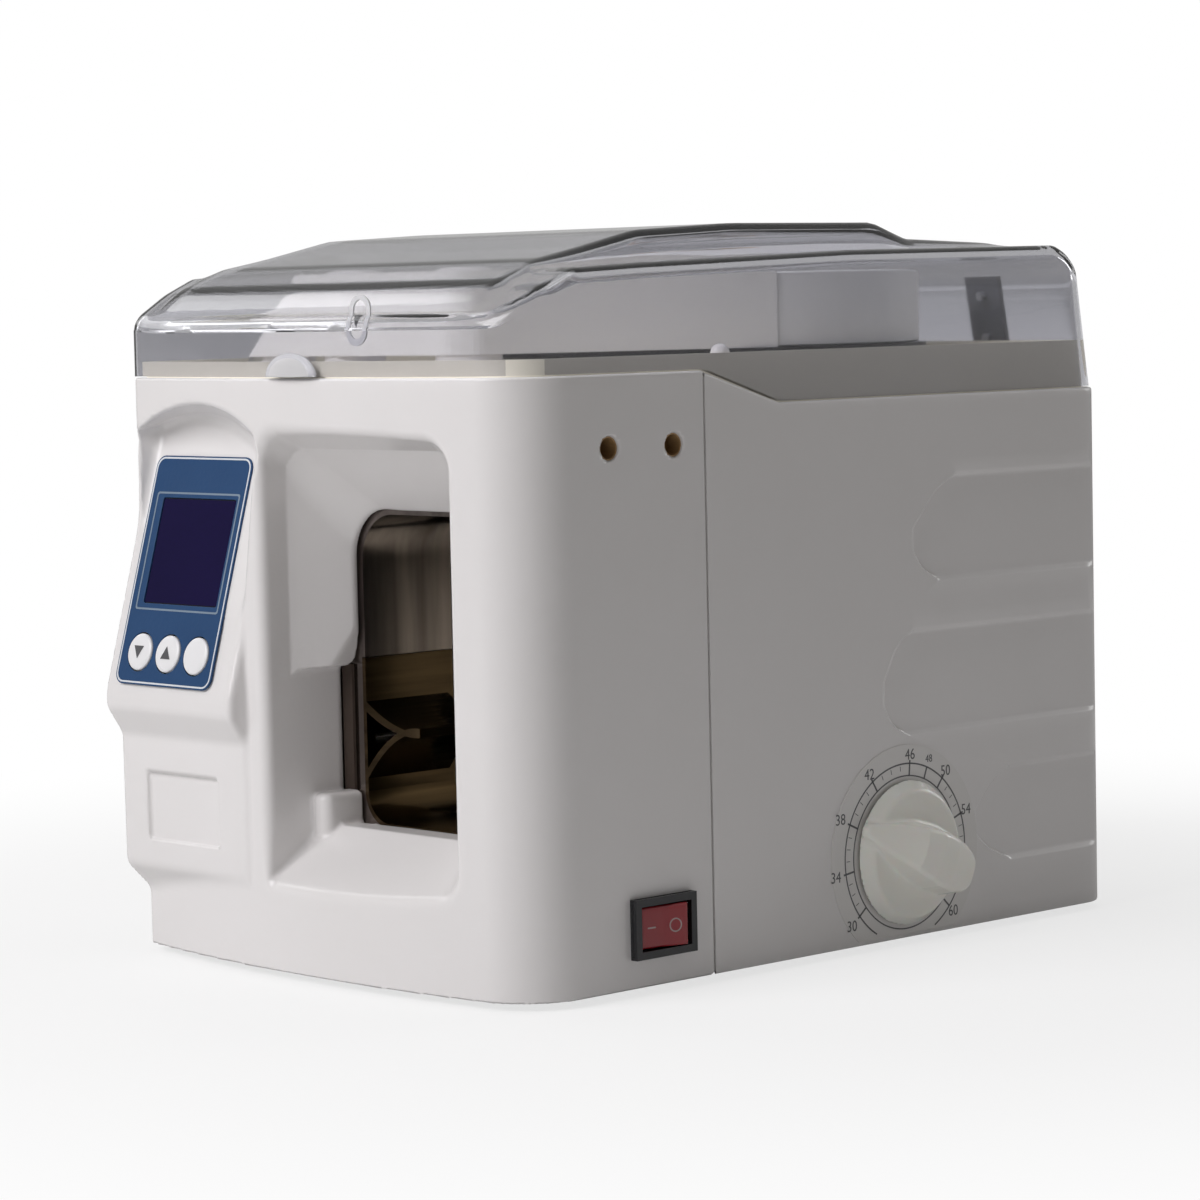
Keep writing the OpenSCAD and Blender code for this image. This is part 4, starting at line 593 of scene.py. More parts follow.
def rounded(corners, r=0.5, cuts=4):
    """A profile with each inner corner rounded by a curve from r before it to r after it."""
    corners = np.asarray(corners, float)
    made = [corners[:1]]
    for before, here, after in zip(corners[:-2], corners[1:-1], corners[2:]):
        a, b = before - here, after - here
        reach = min(r, np.hypot(*a) / 2.01, np.hypot(*b) / 2.01)
        a, b = here + a / np.hypot(*a) * reach, here + b / np.hypot(*b) * reach
        t = np.linspace(0, 1, cuts + 1)[:, None]
        made.append((1 - t) ** 2 * a + 2 * t * (1 - t) * here + t * t * b)
    return np.concatenate([*made, corners[-1:]])


def wound_face():
    """The roll's face: the winds stand out by up to 0.12 mm, in groups a few millimetres wide."""
    r = np.linspace(ROLL_R - 0.5, CORE_R + 0.6, 150)
    swell = (0.05 * np.sin(r * 1.9) + 0.04 * np.sin(r * 5.3 + 1) + 0.03 * np.sin(r * 0.45))
    return np.stack([r, TAPE_W - 0.12 + swell], axis=1)


under = wound_face()[::-1] * [1, -1] + [0, TAPE_W]
sides = [[ROLL_R, 0.5], [ROLL_R, TAPE_W - 0.5]]
bore = [[CORE_R + 0.05, TAPE_W - 0.3], [CORE_R + 0.05, 0.3]]
profile = np.concatenate([under, sides, wound_face(), bore])
points, faces = turned(profile, ROLL_CUTS, (0, REEL_Y, ROLL_Z))
first, last = np.arange(ROLL_CUTS), np.arange(len(points) - ROLL_CUTS, len(points))
faces += np.stack([last, np.roll(last, -1), np.roll(first, -1), first], 1).tolist()
wound_paper = moulded("wound_paper", (0.84, 0.835, 0.83), (0.74, 0.74, 0.75), 0.55, 60)
nodes = wound_paper.node_tree
where = wire(nodes, "ShaderNodeTexCoord", {})
centred = wire(nodes, "ShaderNodeMapping", {"Vector": (where, "Object")}, vector_type="POINT")
reel_at = to_frame([0, REEL_Y, ROLL_Z])
centred.inputs["Location"].default_value = (-reel_at[0], -reel_at[1], 0)
flat = wire(nodes, "ShaderNodeVectorMath", {0: (centred, 0), 1: (1, 1, 0)}, operation="MULTIPLY")
out = wire(nodes, "ShaderNodeVectorMath", {0: (flat, 0)}, operation="LENGTH")
winds = wire(nodes, "ShaderNodeTexNoise", {"W": (out, "Value"), "Scale": 1800.0, "Detail": 4.0},
             noise_dimensions="1D")
relief = wire(nodes, "ShaderNodeBump", {"Height": (winds, "Fac"), "Strength": 0.35,
                                        "Distance": 0.0005})
nodes.links.new(relief.outputs[0], nodes.nodes["Principled BSDF"].inputs["Normal"])
paper_roll = piece("paper_roll", points, faces, "reel", "paper", ["tape_roll"],
                   finish=wound_paper)
paper_roll.data.set_sharp_from_angle(angle=math.radians(40))

for name, body, x in (("left", "left_roller", -28.0), ("right", "right_roller", 16.0)):
    profile = rounded([[0, 0], [7.6, 0], [8, 0.4], [8, 21.4], [7.2, 22.6], [5, 23.5], [2.5, 23.7],
                       [0, 23.7]], 0.8)
    points, faces = turned(profile, 72, (x, 36.95, 154.2))
    piece(f"{name}_guide", points, faces, body, "off_white_abs", [f"guide_roller_{name}"])


# ---------------------------------------------------------------- clear cover
# One clear moulding 2 mm thick, tinted grey: partly its own smoke, partly painted shade for the
# darker surroundings seen through it and mirrored in it. Its front wall rises to a crease and
# slopes back, and the middle of the top swells into a pad. It stands on the housings and hinges at
# the back.

COVER_T, COVER_GAP = 2.0, 0.4
PAD_IN, PAD_OUT, PAD_LEFT = 56.5, 62.5, 9.5
base_height = softened([(-30, 167), (0, 167.2), (10, 173.4), (19, 177.4), (43, 178.5),
                        (119, 181), (201, 181.7), (206, 180.2), (220, 172)], -20, 222, 0.6)
pad_height = softened([(-30, 164), (0, 167), (10, 174.7), (23.6, 179.8), (37.4, 182.4),
                       (58.6, 186.9), (92, 188.5), (146, 188.5), (158, 184.1), (190, 182.9),
                       (201, 181.7), (206, 180.2), (220, 172)], -20, 222, 1.0)


def cover_height(x, y):
    """Height of the top: the base line, lifted to the pad's line inside the pad's soft edges.

    The pad lies 9.5 mm nearer to the left side."""
    inside = 1 - ramp(np.maximum(x, -x - PAD_LEFT) - (PAD_IN + PAD_OUT) / 2, PAD_OUT - PAD_IN)
    lift = np.maximum(pad_height(y) - base_height(y), 0)
    return base_height(y) + lift * inside


def whole_plan(x, y, inset=0.0):
    """Distance to the plan of the whole machine: the bowed front and the round back corners."""
    return round_and(plan_distance(x, y, inset), y - BACK + inset, REAR_R - inset)


def rim_point(side, t, inset=0.0):
    """A point on the plan's edge, t from 0 to 1 along a side, stopping half way round corners."""
    half_way = math.sqrt(0.5)
    left_front, right_front = (
        (sign * (HALF - r + (r - inset) * half_way),
         BOW_R - BOW - math.sqrt((BOW_R - r) ** 2 - (HALF - r) ** 2) - (r - inset) * half_way)
        for sign, r in ((-1, LEFT_R), (1, RIGHT_R)))
    reach = REAR_R - (REAR_R - inset) * half_way
    left_back, right_back = (-HALF + reach, BACK - reach), (HALF - reach, BACK - reach)
    ends = {"front": (left_front, right_front), "back": (left_back, right_back),
            "left": (left_front, left_back), "right": (right_front, right_back)}[side]
    start, end = np.array(ends)
    point = start + (end - start) * t[:, None]
    outward = {"front": (0, -1), "back": (0, 1), "left": (-1, 0), "right": (1, 0)}[side]
    for _ in range(30):
        point = point - whole_plan(*point.T, inset)[:, None] * outward * 0.9
    return point


def edge_loop(grid):
    """The numbers round the edge of a grid, once round and in order."""
    return np.concatenate([grid[0, :-1], grid[:-1, -1], grid[-1, :0:-1], grid[:0:-1, 0]])


def cover_sheet(inset, thick_down):
    """One face of the cover: a patch spanned by the plan's four sides, and a skirt below it.

    Inside the patch a point is the sum of both straight blends between facing sides, less the
    blend between the corners. Its height is the top's, let down by the round rim."""
    fine = [0, 0.12, 0.4, 0.9, 1.6, 2.4, 3.4]
    close = np.array([*fine, 5, 7, 9.5, 12, 13.5, 14.7, 16, 17.3, 18.6, 20, 21.5])
    wide = np.concatenate([close, np.linspace(25, 123, 26), 148 - close[::-1]]) / 148
    front = np.array([*fine, *np.arange(4.6, 34, 1.3)])
    back = 214.8 - np.array([*fine, *np.arange(4.6, 20, 1.5)])
    long = np.concatenate([front, np.arange(36, 150, 3.0), np.arange(150, 193, 2.0),
                           back[::-1]]) / 214.8
    bottom, top = rim_point("front", wide, inset), rim_point("back", wide, inset)
    left, right = rim_point("left", long, inset), rim_point("right", long, inset)
    u, v = wide[None, :, None], long[:, None, None]
    flat = ((1 - v) * bottom + v * top + (1 - u) * left[:, None] + u * right[:, None]
            - (1 - u) * (1 - v) * bottom[0] - u * (1 - v) * bottom[-1]
            - (1 - u) * v * top[0] - u * v * top[-1])
    x, y = flat[..., 0], flat[..., 1]
    within = np.clip(-whole_plan(x, y, inset), 0, None)
    round_r = 3.2 - thick_down * 0.6
    drop = round_r - np.sqrt(np.maximum(round_r ** 2 - np.maximum(round_r - within, 0) ** 2, 0))
    z = cover_height(x, y) - thick_down - drop
    rows, columns = x.shape
    patch = np.stack([x, y, z], -1).reshape(-1, 3)
    loop = edge_loop(np.arange(rows * columns).reshape(rows, columns))
    rim = patch[loop]
    foot = np.interp(rim[:, 1], [SEAM, SHOULDER], [FRONT_TOP, REAR_TOP]) + COVER_GAP
    shares = np.array([0.12, 0.3, 0.5, 0.7, 0.88, 1.0])
    skirt = np.repeat(rim[None], len(shares), axis=0)
    skirt[:, :, 2] += (foot - rim[:, 2]) * shares[:, None]
    points = np.concatenate([patch, skirt.reshape(-1, 3)])
    ring = np.concatenate([loop[None], rows * columns
                           + np.arange(skirt[..., 0].size).reshape(len(shares), -1)])
    ring = np.concatenate([ring, ring[:, :1]], axis=1)
    walls = np.stack([ring[:-1, :-1], ring[1:, :-1], ring[1:, 1:], ring[:-1, 1:]], -1)
    faces = np.concatenate([lattice(rows, columns), walls.reshape(-1, 4)])
    # the back wall leans in towards the top
    lean = np.clip((points[:, 1] - 190) / 28, 0, 1) ** 1.5
    points[:, 1] -= lean * (1.5 + 0.205 * np.maximum(points[:, 2] - 143.1, 0))
    return points, faces, ring[-1, :-1]


outer, faces, edge = cover_sheet(0.0, 0.0)
inner, _, _ = cover_sheet(COVER_T, COVER_T)
join = np.stack([edge, edge + len(outer), np.roll(edge, -1) + len(outer), np.roll(edge, -1)], 1)
cover_faces = np.concatenate([faces, faces[:, ::-1] + len(outer), join])
# the grey tint is partly the cover's own smoke, partly painted shade for darker surroundings seen
# through and mirrored
clear_cover = moulded("clear_cover", (0.57, 0.57, 0.60), (0.55, 0.55, 0.58), 0.03, 6, 0.0,
                      Transmission_Weight=1.0, IOR=1.45)


def let_shadows_through(material, colour):
    """Shadow rays pass straight through a clear material, tinted, so that lamps light inside."""
    tree = material.node_tree
    path = wire(tree, "ShaderNodeLightPath", {})
    clear = wire(tree, "ShaderNodeBsdfTransparent", {"Color": (*colour, 1)})
    both = wire(tree, "ShaderNodeMixShader", {0: (path, "Is Shadow Ray"), 2: (clear, 0)})
    tree.links.new(tree.nodes["Principled BSDF"].outputs[0], both.inputs[1])
    tree.links.new(both.outputs[0], tree.nodes["Material Output"].inputs["Surface"])


let_shadows_through(clear_cover, (0.94, 0.94, 0.945))
dress("clear_cover", clear_cover)
cover_shell = piece("cover_shell", np.concatenate([outer, inner]), cover_faces, "cover",
                    "clear_cover", ["top_cover"])
cover_shell.data.set_sharp_from_angle(angle=math.radians(50))


def front_arc(x):
    """Depth of the bowed front at x."""
    return BOW_R - BOW - np.sqrt(BOW_R ** 2 - np.asarray(x) ** 2)


def domed(x, z, centre_x, low_z, half, high, out):
    """A low dome standing on an edge: out times the root of 1 less both squared shares."""
    share = 1 - ((x - centre_x) / half) ** 2 - ((z - low_z) / high) ** 2
    return front_arc(x) - out * np.sqrt(np.clip(share, 0, 1))


# the thumb tab on the front edge, a low clear dome moulded in one with the cover
TAB_X, TAB_LOW, TAB_HALF, TAB_HIGH, TAB_OUT = -0.6, 151.9, 10.0, 6.0, 1.7
TAB_ROWS, TAB_COLUMNS = 13, 41
angle = np.linspace(0, np.pi, TAB_COLUMNS)
reach = np.sin(np.linspace(0, np.pi / 2, TAB_ROWS))[:, None]
tab_x = TAB_X + TAB_HALF * reach * np.cos(angle)
tab_z = TAB_LOW + TAB_HIGH * reach * np.sin(angle)
tab_y = domed(tab_x, tab_z, TAB_X, TAB_LOW, TAB_HALF, TAB_HIGH, TAB_OUT)
tab = np.stack([tab_x, tab_y, tab_z], -1).reshape(-1, 3)
back_tab = np.stack([tab_x, front_arc(tab_x) + 0.4, tab_z], -1).reshape(-1, 3)
number = np.arange(len(tab)).reshape(TAB_ROWS, TAB_COLUMNS)
rim = np.array([*number[-1], *number[-2:0:-1, -1], 0, *number[1:-1, 0]])
after = np.roll(rim, -1)
sheet = lattice(TAB_ROWS, TAB_COLUMNS)
faces = np.concatenate([sheet[:, ::-1], sheet + len(tab),
                        np.stack([after, rim, rim + len(tab), after + len(tab)], 1)])
# whitish and only partly clear: painted highlight standing in for the white glints on the clear
# dome
clear_tab_painted_glints = moulded("clear_tab_painted_glints", (0.96, 0.96, 0.97), (0.94, 0.94, 0.95), 0.06, 6, 0.0,
                    Transmission_Weight=0.4, IOR=1.45)
piece("thumb_tab", np.concatenate([tab, back_tab]), faces, "cover", "clear_cover",
      finish=clear_tab_painted_glints)


# ---------------------------------------------------------------- console
# A blue overlay film lies in the pocket on the tilted face. It is printed with a white border and
# a pale frame round the display, a dark purple glass behind its window. Three domed white keys
# stand through it, two of them with printed arrows.

UP = np.array([0, math.sin(TILT), math.cos(TILT)])
OUT = np.array([0, -math.cos(TILT), math.sin(TILT)])
NOSE = np.array([-HALF, *FACE])
ACROSS = np.array([1.0, 0, 0])


def outline(x0, x1, z0, z1, r, cuts=7):
    """A rectangle's outline, anticlockwise, with corners of radius r as quarter circles."""
    a = np.radians(np.linspace(0, 90, cuts))
    made = [np.stack([cx + r * np.cos(a + turn), cz + r * np.sin(a + turn)], 1)
            for cx, cz, turn in ((x1 - r, z1 - r, 0), (x0 + r, z1 - r, np.pi / 2),
                                 (x0 + r, z0 + r, np.pi), (x1 - r, z0 + r, 1.5 * np.pi))]
    return np.concatenate(made)


def disc(x, z, r, cuts=48):
    """A circle's outline."""
    a = np.linspace(0, 2 * np.pi, cuts, endpoint=False)
    return np.stack([x + r * np.cos(a), z + r * np.sin(a)], 1)


def cut_sheet(outlines, thick, bevel=0.0, text=None, size=1.0):
    """A sheet cut from flat outlines, an outline inside another being a hole, or from text.

    It is filled as a flat curve and made a mesh; its back is at height 0, its front at thick."""
    if text is None:
        curve = bpy.data.curves.new("sheet", "CURVE")
        curve.dimensions = "2D"
        for line in outlines:
            spline = curve.splines.new("POLY")
            spline.points.add(len(line) - 1)
            flat = np.concatenate([line, np.zeros((len(line), 1)), np.ones((len(line), 1))], 1)
            spline.points.foreach_set("co", flat.ravel())
            spline.use_cyclic_u = True
    else:
        curve = bpy.data.curves.new("sheet", "FONT")
        curve.body, curve.size = text, size
        curve.align_x, curve.align_y = "CENTER", "CENTER"
    curve.fill_mode = "BOTH"
    curve.extrude = thick / 2 - bevel
    curve.bevel_depth, curve.bevel_resolution, curve.offset = bevel, 1, -bevel
    curve.resolution_u = 3
    shape = bpy.data.objects.new("sheet", curve)
    bpy.context.scene.collection.objects.link(shape)
    bpy.context.view_layer.update()
    mesh = bpy.data.meshes.new_from_object(
        shape.evaluated_get(bpy.context.evaluated_depsgraph_get()))
    net = bmesh.new()
    net.from_mesh(mesh)
    bmesh.ops.remove_doubles(net, verts=net.verts, dist=0.001)
    net.to_mesh(mesh)
    net.free()
    points = np.zeros(len(mesh.vertices) * 3)
    mesh.vertices.foreach_get("co", points)
    faces = [list(face.vertices) for face in mesh.polygons]
    bpy.data.objects.remove(shape)
    bpy.data.curves.remove(curve)
    bpy.data.meshes.remove(mesh)
    return points.reshape(-1, 3) + [0, 0, thick / 2], faces


def laid(points, origin, right, up, out):
    """Flat points (right, up, out) put on a plane given by its origin and three directions."""
    return np.asarray(origin) + points @ np.stack([right, up, out]).astype(float)


def gathered(parts):
    """Several (points, faces) pairs as one."""
    start = np.cumsum([0] + [len(p) for p, _ in parts[:-1]])
    return (np.concatenate([p for p, _ in parts]),
            [[i + s for i in face] for s, (_, f) in zip(start, parts)
             for face in (f.tolist() if isinstance(f, np.ndarray) else f)])


FILM_T = 0.5
DISPLAY = (10.3, 41.3, 23.1, 51.7)            # the film's window: along the console, then up
dress("overlay_blue", moulded("overlay_blue", (0.010, 0.048, 0.135), (0.014, 0.058, 0.155), 0.4,
                              90, 0.05, Specular_IOR_Level=0.25))
dress("lcd_dark", moulded("lcd_dark", (0.004, 0.002, 0.030), (0.008, 0.004, 0.045), 0.22, 25,
                          0.0, Specular_IOR_Level=0.08))
dress("white_key", moulded("white_key", (0.84, 0.84, 0.85), (0.80, 0.80, 0.81), 0.28))
film = cut_sheet([outline(4.5, 45, 1.25, 63.05, 3.2), outline(*DISPLAY, 0.6),
                  *(disc(k, KEY_UP, 5.3) for k in KEYS)], FILM_T, 0.08)
piece("overlay_film", laid(film[0], NOSE + 0.02 * OUT, ACROSS, UP, OUT), film[1],
      "machine", "overlay_blue", ["console_overlay"], flat=True)

pale_print = moulded("pale_print", (0.70, 0.73, 0.76), (0.66, 0.69, 0.72), 0.4)
border = cut_sheet([outline(4.9, 44.6, 1.65, 62.65, 2.9), outline(5.35, 44.15, 2.1, 62.2, 2.5)],
                   0.05)
piece("overlay_border", laid(border[0], NOSE + (FILM_T + 0.02) * OUT, ACROSS, UP, OUT), border[1],
      "machine", "white_key", flat=True, finish=pale_print)
grey_blue = moulded("grey_blue_print", (0.20, 0.26, 0.33), (0.17, 0.23, 0.30), 0.4)
mask = cut_sheet([outline(7.4, 42.5, 21.3, 53.2, 0.8), outline(7.9, 42.0, 21.8, 52.7, 0.6)], 0.05)
piece("display_frame", laid(mask[0], NOSE + (FILM_T + 0.02) * OUT, ACROSS, UP, OUT), mask[1],
      "machine", "overlay_blue", flat=True, finish=grey_blue)

# the glass is near black at its edge, broadest at the left and the top: painted shadow of the
# bezel; over it lies a faintly lighter active area
glass_painted_bezel_shadow = moulded("glass_painted_bezel_shadow", (0.004, 0.004, 0.008), (0.006, 0.005, 0.010), 0.22,
                     Specular_IOR_Level=0.25)
glass = cut_sheet([outline(10.32, 41.28, 23.12, 51.68, 0.5)], 0.9, 0.1)
piece("display_glass", laid(glass[0], NOSE - 0.75 * OUT, ACROSS, UP, OUT), glass[1], "machine",
      "lcd_dark", flat=True, finish=glass_painted_bezel_shadow)
active = cut_sheet([outline(11.9, 40.4, 24.0, 50.2, 0.3)], 0.04)
piece("display_area", laid(active[0], NOSE + 0.15 * OUT, ACROSS, UP, OUT), active[1], "machine",
      "lcd_dark", flat=True)

print_grey = moulded("print_grey", (0.055, 0.055, 0.06), (0.08, 0.08, 0.085), 0.5)
arrow = np.array([[-2.0, 1.5], [0, -1.9], [2.0, 1.5]])
for k, (name, body) in enumerate((("down", "down_button"), ("up", "up_button"),
                                  ("clear", "clear_button"))):
    at = NOSE + KEYS[k] * ACROSS + KEY_UP * UP
    cap, faces = turned(rounded([[4.95, -3.5], [4.95, 0.75], [4.1, 1.05], [0, 1.25]], 0.7), 56)
    faces.append(list(range(55, -1, -1)))
    piece(f"{name}_cap", laid(cap, at, ACROSS, UP, OUT), faces, body, "white_key",
          [f"{name}_key"])
    if k < 2:
        mark = arrow[::-1] if k == 0 else arrow * [1, -1]
        sign, faces = cut_sheet([mark], 0.06)
        piece(f"{name}_arrow", laid(sign, at + 1.2 * OUT, ACROSS, UP, OUT), faces, body,
              "white_key", flat=True, finish=print_grey)


# ---------------------------------------------------------------- cover tongue
# Inside the cover's front wall hangs a frosted U of the same plastic, with a small grey arrow that
# points down at the thumb tab.
frosted = moulded("frosted_tongue", (0.88, 0.88, 0.90), (0.84, 0.84, 0.86), 0.45, 200,
                  Transmission_Weight=0.35)
tongue, faces = cut_sheet([outline(-4.0, 4.0, -6.6, 6.0, 3.9), outline(-2.5, 2.5, -4.8, 4.8, 2.4)],
                          0.5, 0.1)
tongue_at = np.array([23.0, float(front_arc(23.0)) + 2.6, 166.0])
piece("cover_tongue", laid(tongue, tongue_at, ACROSS, [0, 0.06, 1], [0, -1, 0.06]), faces, "cover",
      "clear_cover", flat=True, finish=frosted)
sign, faces = cut_sheet([arrow * [0.85, 1.1]], 0.06)
piece("tongue_arrow", laid(sign, tongue_at + [-0.6, -0.1, -0.5], ACROSS, [0, 0, 1], [0, -1, 0]),
      faces, "cover", "clear_cover", flat=True, finish=print_grey)


# ---------------------------------------------------------------- steel throat
# Bright rolled sheet lines the throat: an upper arch, a lower half with the curved nose that the
# tape leaves by, and the bed. Streaks of brown and near black run up the arch and along the lower
# half: painted reflections of the surroundings in the bright steel. A dark strip in the gap
# between the left wall and the steel is painted shadow for the shade in that gap.

# streaks from brown to near black in both steels are painted reflections of the surroundings
dress("polished_steel", drawn("polished_steel", (0.48, 0.42, 0.39), (0.010, 0.006, 0.004), 0.1,
                              (130, 130, 12)))
dress_node("arch_lower", drawn("lower_steel_painted_reflections", (0.20, 0.14, 0.075), (0.003, 0.003, 0.003), 0.12,
                               (10, 10, 300)))
# a dark strip in the gap between the left wall and the steel: painted shadow for the shade in that
# gap
gap_shadow = moulded("painted_gap_shadow", (0.045, 0.030, 0.022), (0.06, 0.04, 0.03), 0.8)
points = np.array([[x, y, z] for x in (-16.2, -12.4) for y in (19.2, 20.1) for z in (30, 76.9)],
                  float)
piece("gap_shadow_strip", points, [[0, 1, 3, 2], [4, 6, 7, 5], [0, 4, 5, 1], [2, 3, 7, 6],
                             [0, 2, 6, 4], [1, 5, 7, 3]], "machine", "rubber_black", flat=True,
      finish=gap_shadow)


# ---------------------------------------------------------------- power switch
# A snap-in rocker switch low on the right side: a near-black bezel round a dark well, and a glossy
# see-through red rocker with a thin printed bar and ring, its front end pressed in.

PIVOT = np.array([74.0, 42.0, 14.9])
SWITCH = PIVOT + [3.02, 0, 0]
BACKWARD, UPRIGHT, SIDEWAYS = np.array([0.0, 1, 0]), np.array([0.0, 0, 1]), ACROSS
bezel_black = moulded("bezel_black", (0.010, 0.011, 0.014), (0.016, 0.017, 0.02), 0.22, 120,
                      0.06)
bezel = cut_sheet([outline(-10.5, 10.5, -7.5, 7.5, 0.7), outline(-8.6, 8.6, -5.6, 5.6, 0.5)],
                  1.8, 0.5)
well = cut_sheet([outline(-8.75, 8.75, -5.75, 5.75, 0.4), outline(-8.6, 8.6, -5.6, 5.6, 0.4)],
                 12.0)
shut = cut_sheet([outline(-8.75, 8.75, -5.75, 5.75, 0.4)], 1.0)
body, body_faces = gathered([bezel, (well[0] - [0, 0, 11.9], well[1]),
                             (shut[0] - [0, 0, 12.5], shut[1])])
piece("switch_bezel", laid(body, SWITCH, BACKWARD, UPRIGHT, SIDEWAYS), body_faces, "machine",
      "black_plastic", flat=True, finish=bezel_black)
dress("rocker_red", moulded("rocker_red", (0.34, 0.012, 0.02), (0.26, 0.008, 0.014), 0.16,
                            Coat_Weight=0.3, Coat_Roughness=0.08, Subsurface_Weight=0.15,
                            Subsurface_Scale=0.002))


ROCKER_HALF, ROCKER_TALL, ROCKER_R = 7.2, 5.25, 0.7
ROCKER_LOW, ROCKER_RISE = 4.72, 0.68          # the middle's height, and the ends' above it


def rocker_skin():
    """Across the rocker a row follows two shallow slopes meeting in the middle; around its edge
    the four last lines fall away by a quarter circle of radius 0.7, then run down as sides."""
    long, tall, r = ROCKER_HALF, ROCKER_TALL, ROCKER_R
    fall = r * (1 - np.cos(np.radians([90, 60, 30, 0])))
    u = np.concatenate([-long + fall[::-1], np.linspace(-long + 1.4, long - 1.4, 22),
                        long - fall])
    w = np.concatenate([-tall + fall[::-1], np.linspace(-tall + 1.4, tall - 1.4, 8),
                        tall - fall])
    a, b = np.meshgrid(u, w)
    near = np.minimum(long - np.abs(a), tall - np.abs(b))
    drop = r - np.sqrt(np.maximum(r * r - np.maximum(r - near, 0) ** 2, 0))
    top = ROCKER_LOW + ROCKER_RISE * np.sqrt((a / long) ** 2 + 0.004) - drop
    return a, b, top


a, b, top = rocker_skin()
rows, columns = a.shape
loop = edge_loop(np.arange(a.size).reshape(rows, columns))
skirt = np.stack([a.ravel()[loop], b.ravel()[loop], np.full(len(loop), 0.2)], 1)
points = np.concatenate([np.stack([a, b, top], -1).reshape(-1, 3), skirt])
below = a.size + np.arange(len(loop))
faces = lattice(rows, columns).tolist() + [
    [p, q, s, r] for p, q, s, r in zip(loop, below, np.roll(below, -1), np.roll(loop, -1))]
faces.append(below[::-1].tolist())
tip = math.radians(-10)
ALONG = np.array([-math.sin(tip), math.cos(tip), 0.0])
FORTH = np.array([math.cos(tip), math.sin(tip), 0.0])
rocker = piece("red_rocker", laid(points, PIVOT, ALONG, UPRIGHT, FORTH), faces, "rocker",
               "rocker_red", ["switch_rocker"])
rocker.data.set_sharp_from_angle(angle=math.radians(50))

pale_mark = moulded("pale_mark", (0.50, 0.40, 0.40), (0.45, 0.36, 0.36), 0.4)
bar = cut_sheet([outline(-1.3, 1.3, -0.18, 0.18, 0.15)], 0.05)
ring_print = cut_sheet([disc(0, 0, 1.75), disc(0, 0, 1.45)], 0.05)
slope = ROCKER_RISE / ROCKER_HALF
for name, flat, along in (("bar", bar, -3.7), ("ring", ring_print, 3.5)):
    lean = math.atan(slope) * np.sign(along)
    right = ALONG * math.cos(lean) + FORTH * math.sin(lean)
    out = FORTH * math.cos(lean) - ALONG * math.sin(lean)
    at = PIVOT + along * ALONG + (ROCKER_LOW + slope * abs(along) + 0.01) * FORTH
    piece(f"rocker_{name}", laid(flat[0], at, right, UPRIGHT, out), flat[1], "rocker",
          "rocker_red", flat=True, finish=pale_mark)


# ---------------------------------------------------------------- position dial and knob
# A clear round sticker carries a thin ring, open below, with ticks and the distances in
# millimetres from 30 to 60; a dark full ring just outside the knob's skirt is painted shadow of
# the skirt. The knob on it is cast in milky plastic: a low skirt and a leaf-shaped grip, blunt at
# one end and drawn out to the pointer at the other.

DIAL = np.array([77.3, 132.3, 22.8])
dress("scale_film", moulded("scale_film", (0.79, 0.775, 0.76), (0.75, 0.735, 0.72), 0.22))
SKIRT_SHADOW_R, RING_OUT = 20.4, 23.65
MARKS = {30: -141, 34: -172, 38: 156, 42: 122, 46: 85, 48: 68, 50: 51, 54: 20, 58: -11, 60: -44}


def ring_band(r0, r1, start, end, cuts=120):
    """A band between two radii, from one angle to another, as one outline."""
    a = np.radians(np.linspace(start, end, cuts))
    return np.concatenate([np.stack([r1 * np.cos(a), r1 * np.sin(a)], 1),
                           np.stack([r0 * np.cos(a), r0 * np.sin(a)], 1)[::-1]])


def tick(degrees, r0, r1, width):
    """A radial tick as a thin rectangle."""
    a = math.radians(degrees)
    line = np.array([[r0, -width / 2], [r1, -width / 2], [r1, width / 2], [r0, width / 2]])
    return line @ np.array([[math.cos(a), math.sin(a)], [-math.sin(a), math.cos(a)]])


# the outer ring is print; the inner full ring, just outside the knob's skirt, is painted shadow of
# the skirt
prints_and_shadow_ring = [cut_sheet([ring_band(RING_OUT - 0.4, RING_OUT, -62, 240)], 0.05),
          cut_sheet([disc(0, 0, SKIRT_SHADOW_R, 120), disc(0, 0, SKIRT_SHADOW_R - 0.35, 120)], 0.05)]
prints_and_shadow_ring += [cut_sheet([tick(a, 20.3, 24.3 if n % 4 == 2 else 23.4, 0.5)], 0.05)
           for n, a in MARKS.items()]
between = np.concatenate([np.linspace(a, b, 5)[1:-1] for a, b in (
    (219, 188), (188, 156), (156, 122), (122, 85), (51, 20), (20, -11))])
prints_and_shadow_ring += [cut_sheet([tick(a, 21.6, 22.9, 0.18)], 0.05) for a in between]
for number, degrees in MARKS.items():
    points, faces = cut_sheet(None, 0.05, text=str(number), size=4.1)
    r = 25.7 if 0 < degrees < 130 or abs(degrees) < 60 else 27.3
    size = 0.7 if number == 48 else 1.0
    points[:, :2] = points[:, :2] * [0.95, 1] * size + r * np.array(
        [math.cos(math.radians(degrees)), math.sin(math.radians(degrees))])
    prints_and_shadow_ring.append((points, faces))
points, faces = gathered(prints_and_shadow_ring)
dial_print_and_skirt_shadow = moulded("dial_print_and_skirt_shadow", (0.10, 0.10, 0.105), (0.14, 0.14, 0.145), 0.5)
piece("dial_marks", laid(points, DIAL, BACKWARD, UPRIGHT, SIDEWAYS), faces, "machine",
      "scale_film", flat=True, finish=dial_print_and_skirt_shadow)

POINTER = math.radians(156)
KNOB_X = 78.0


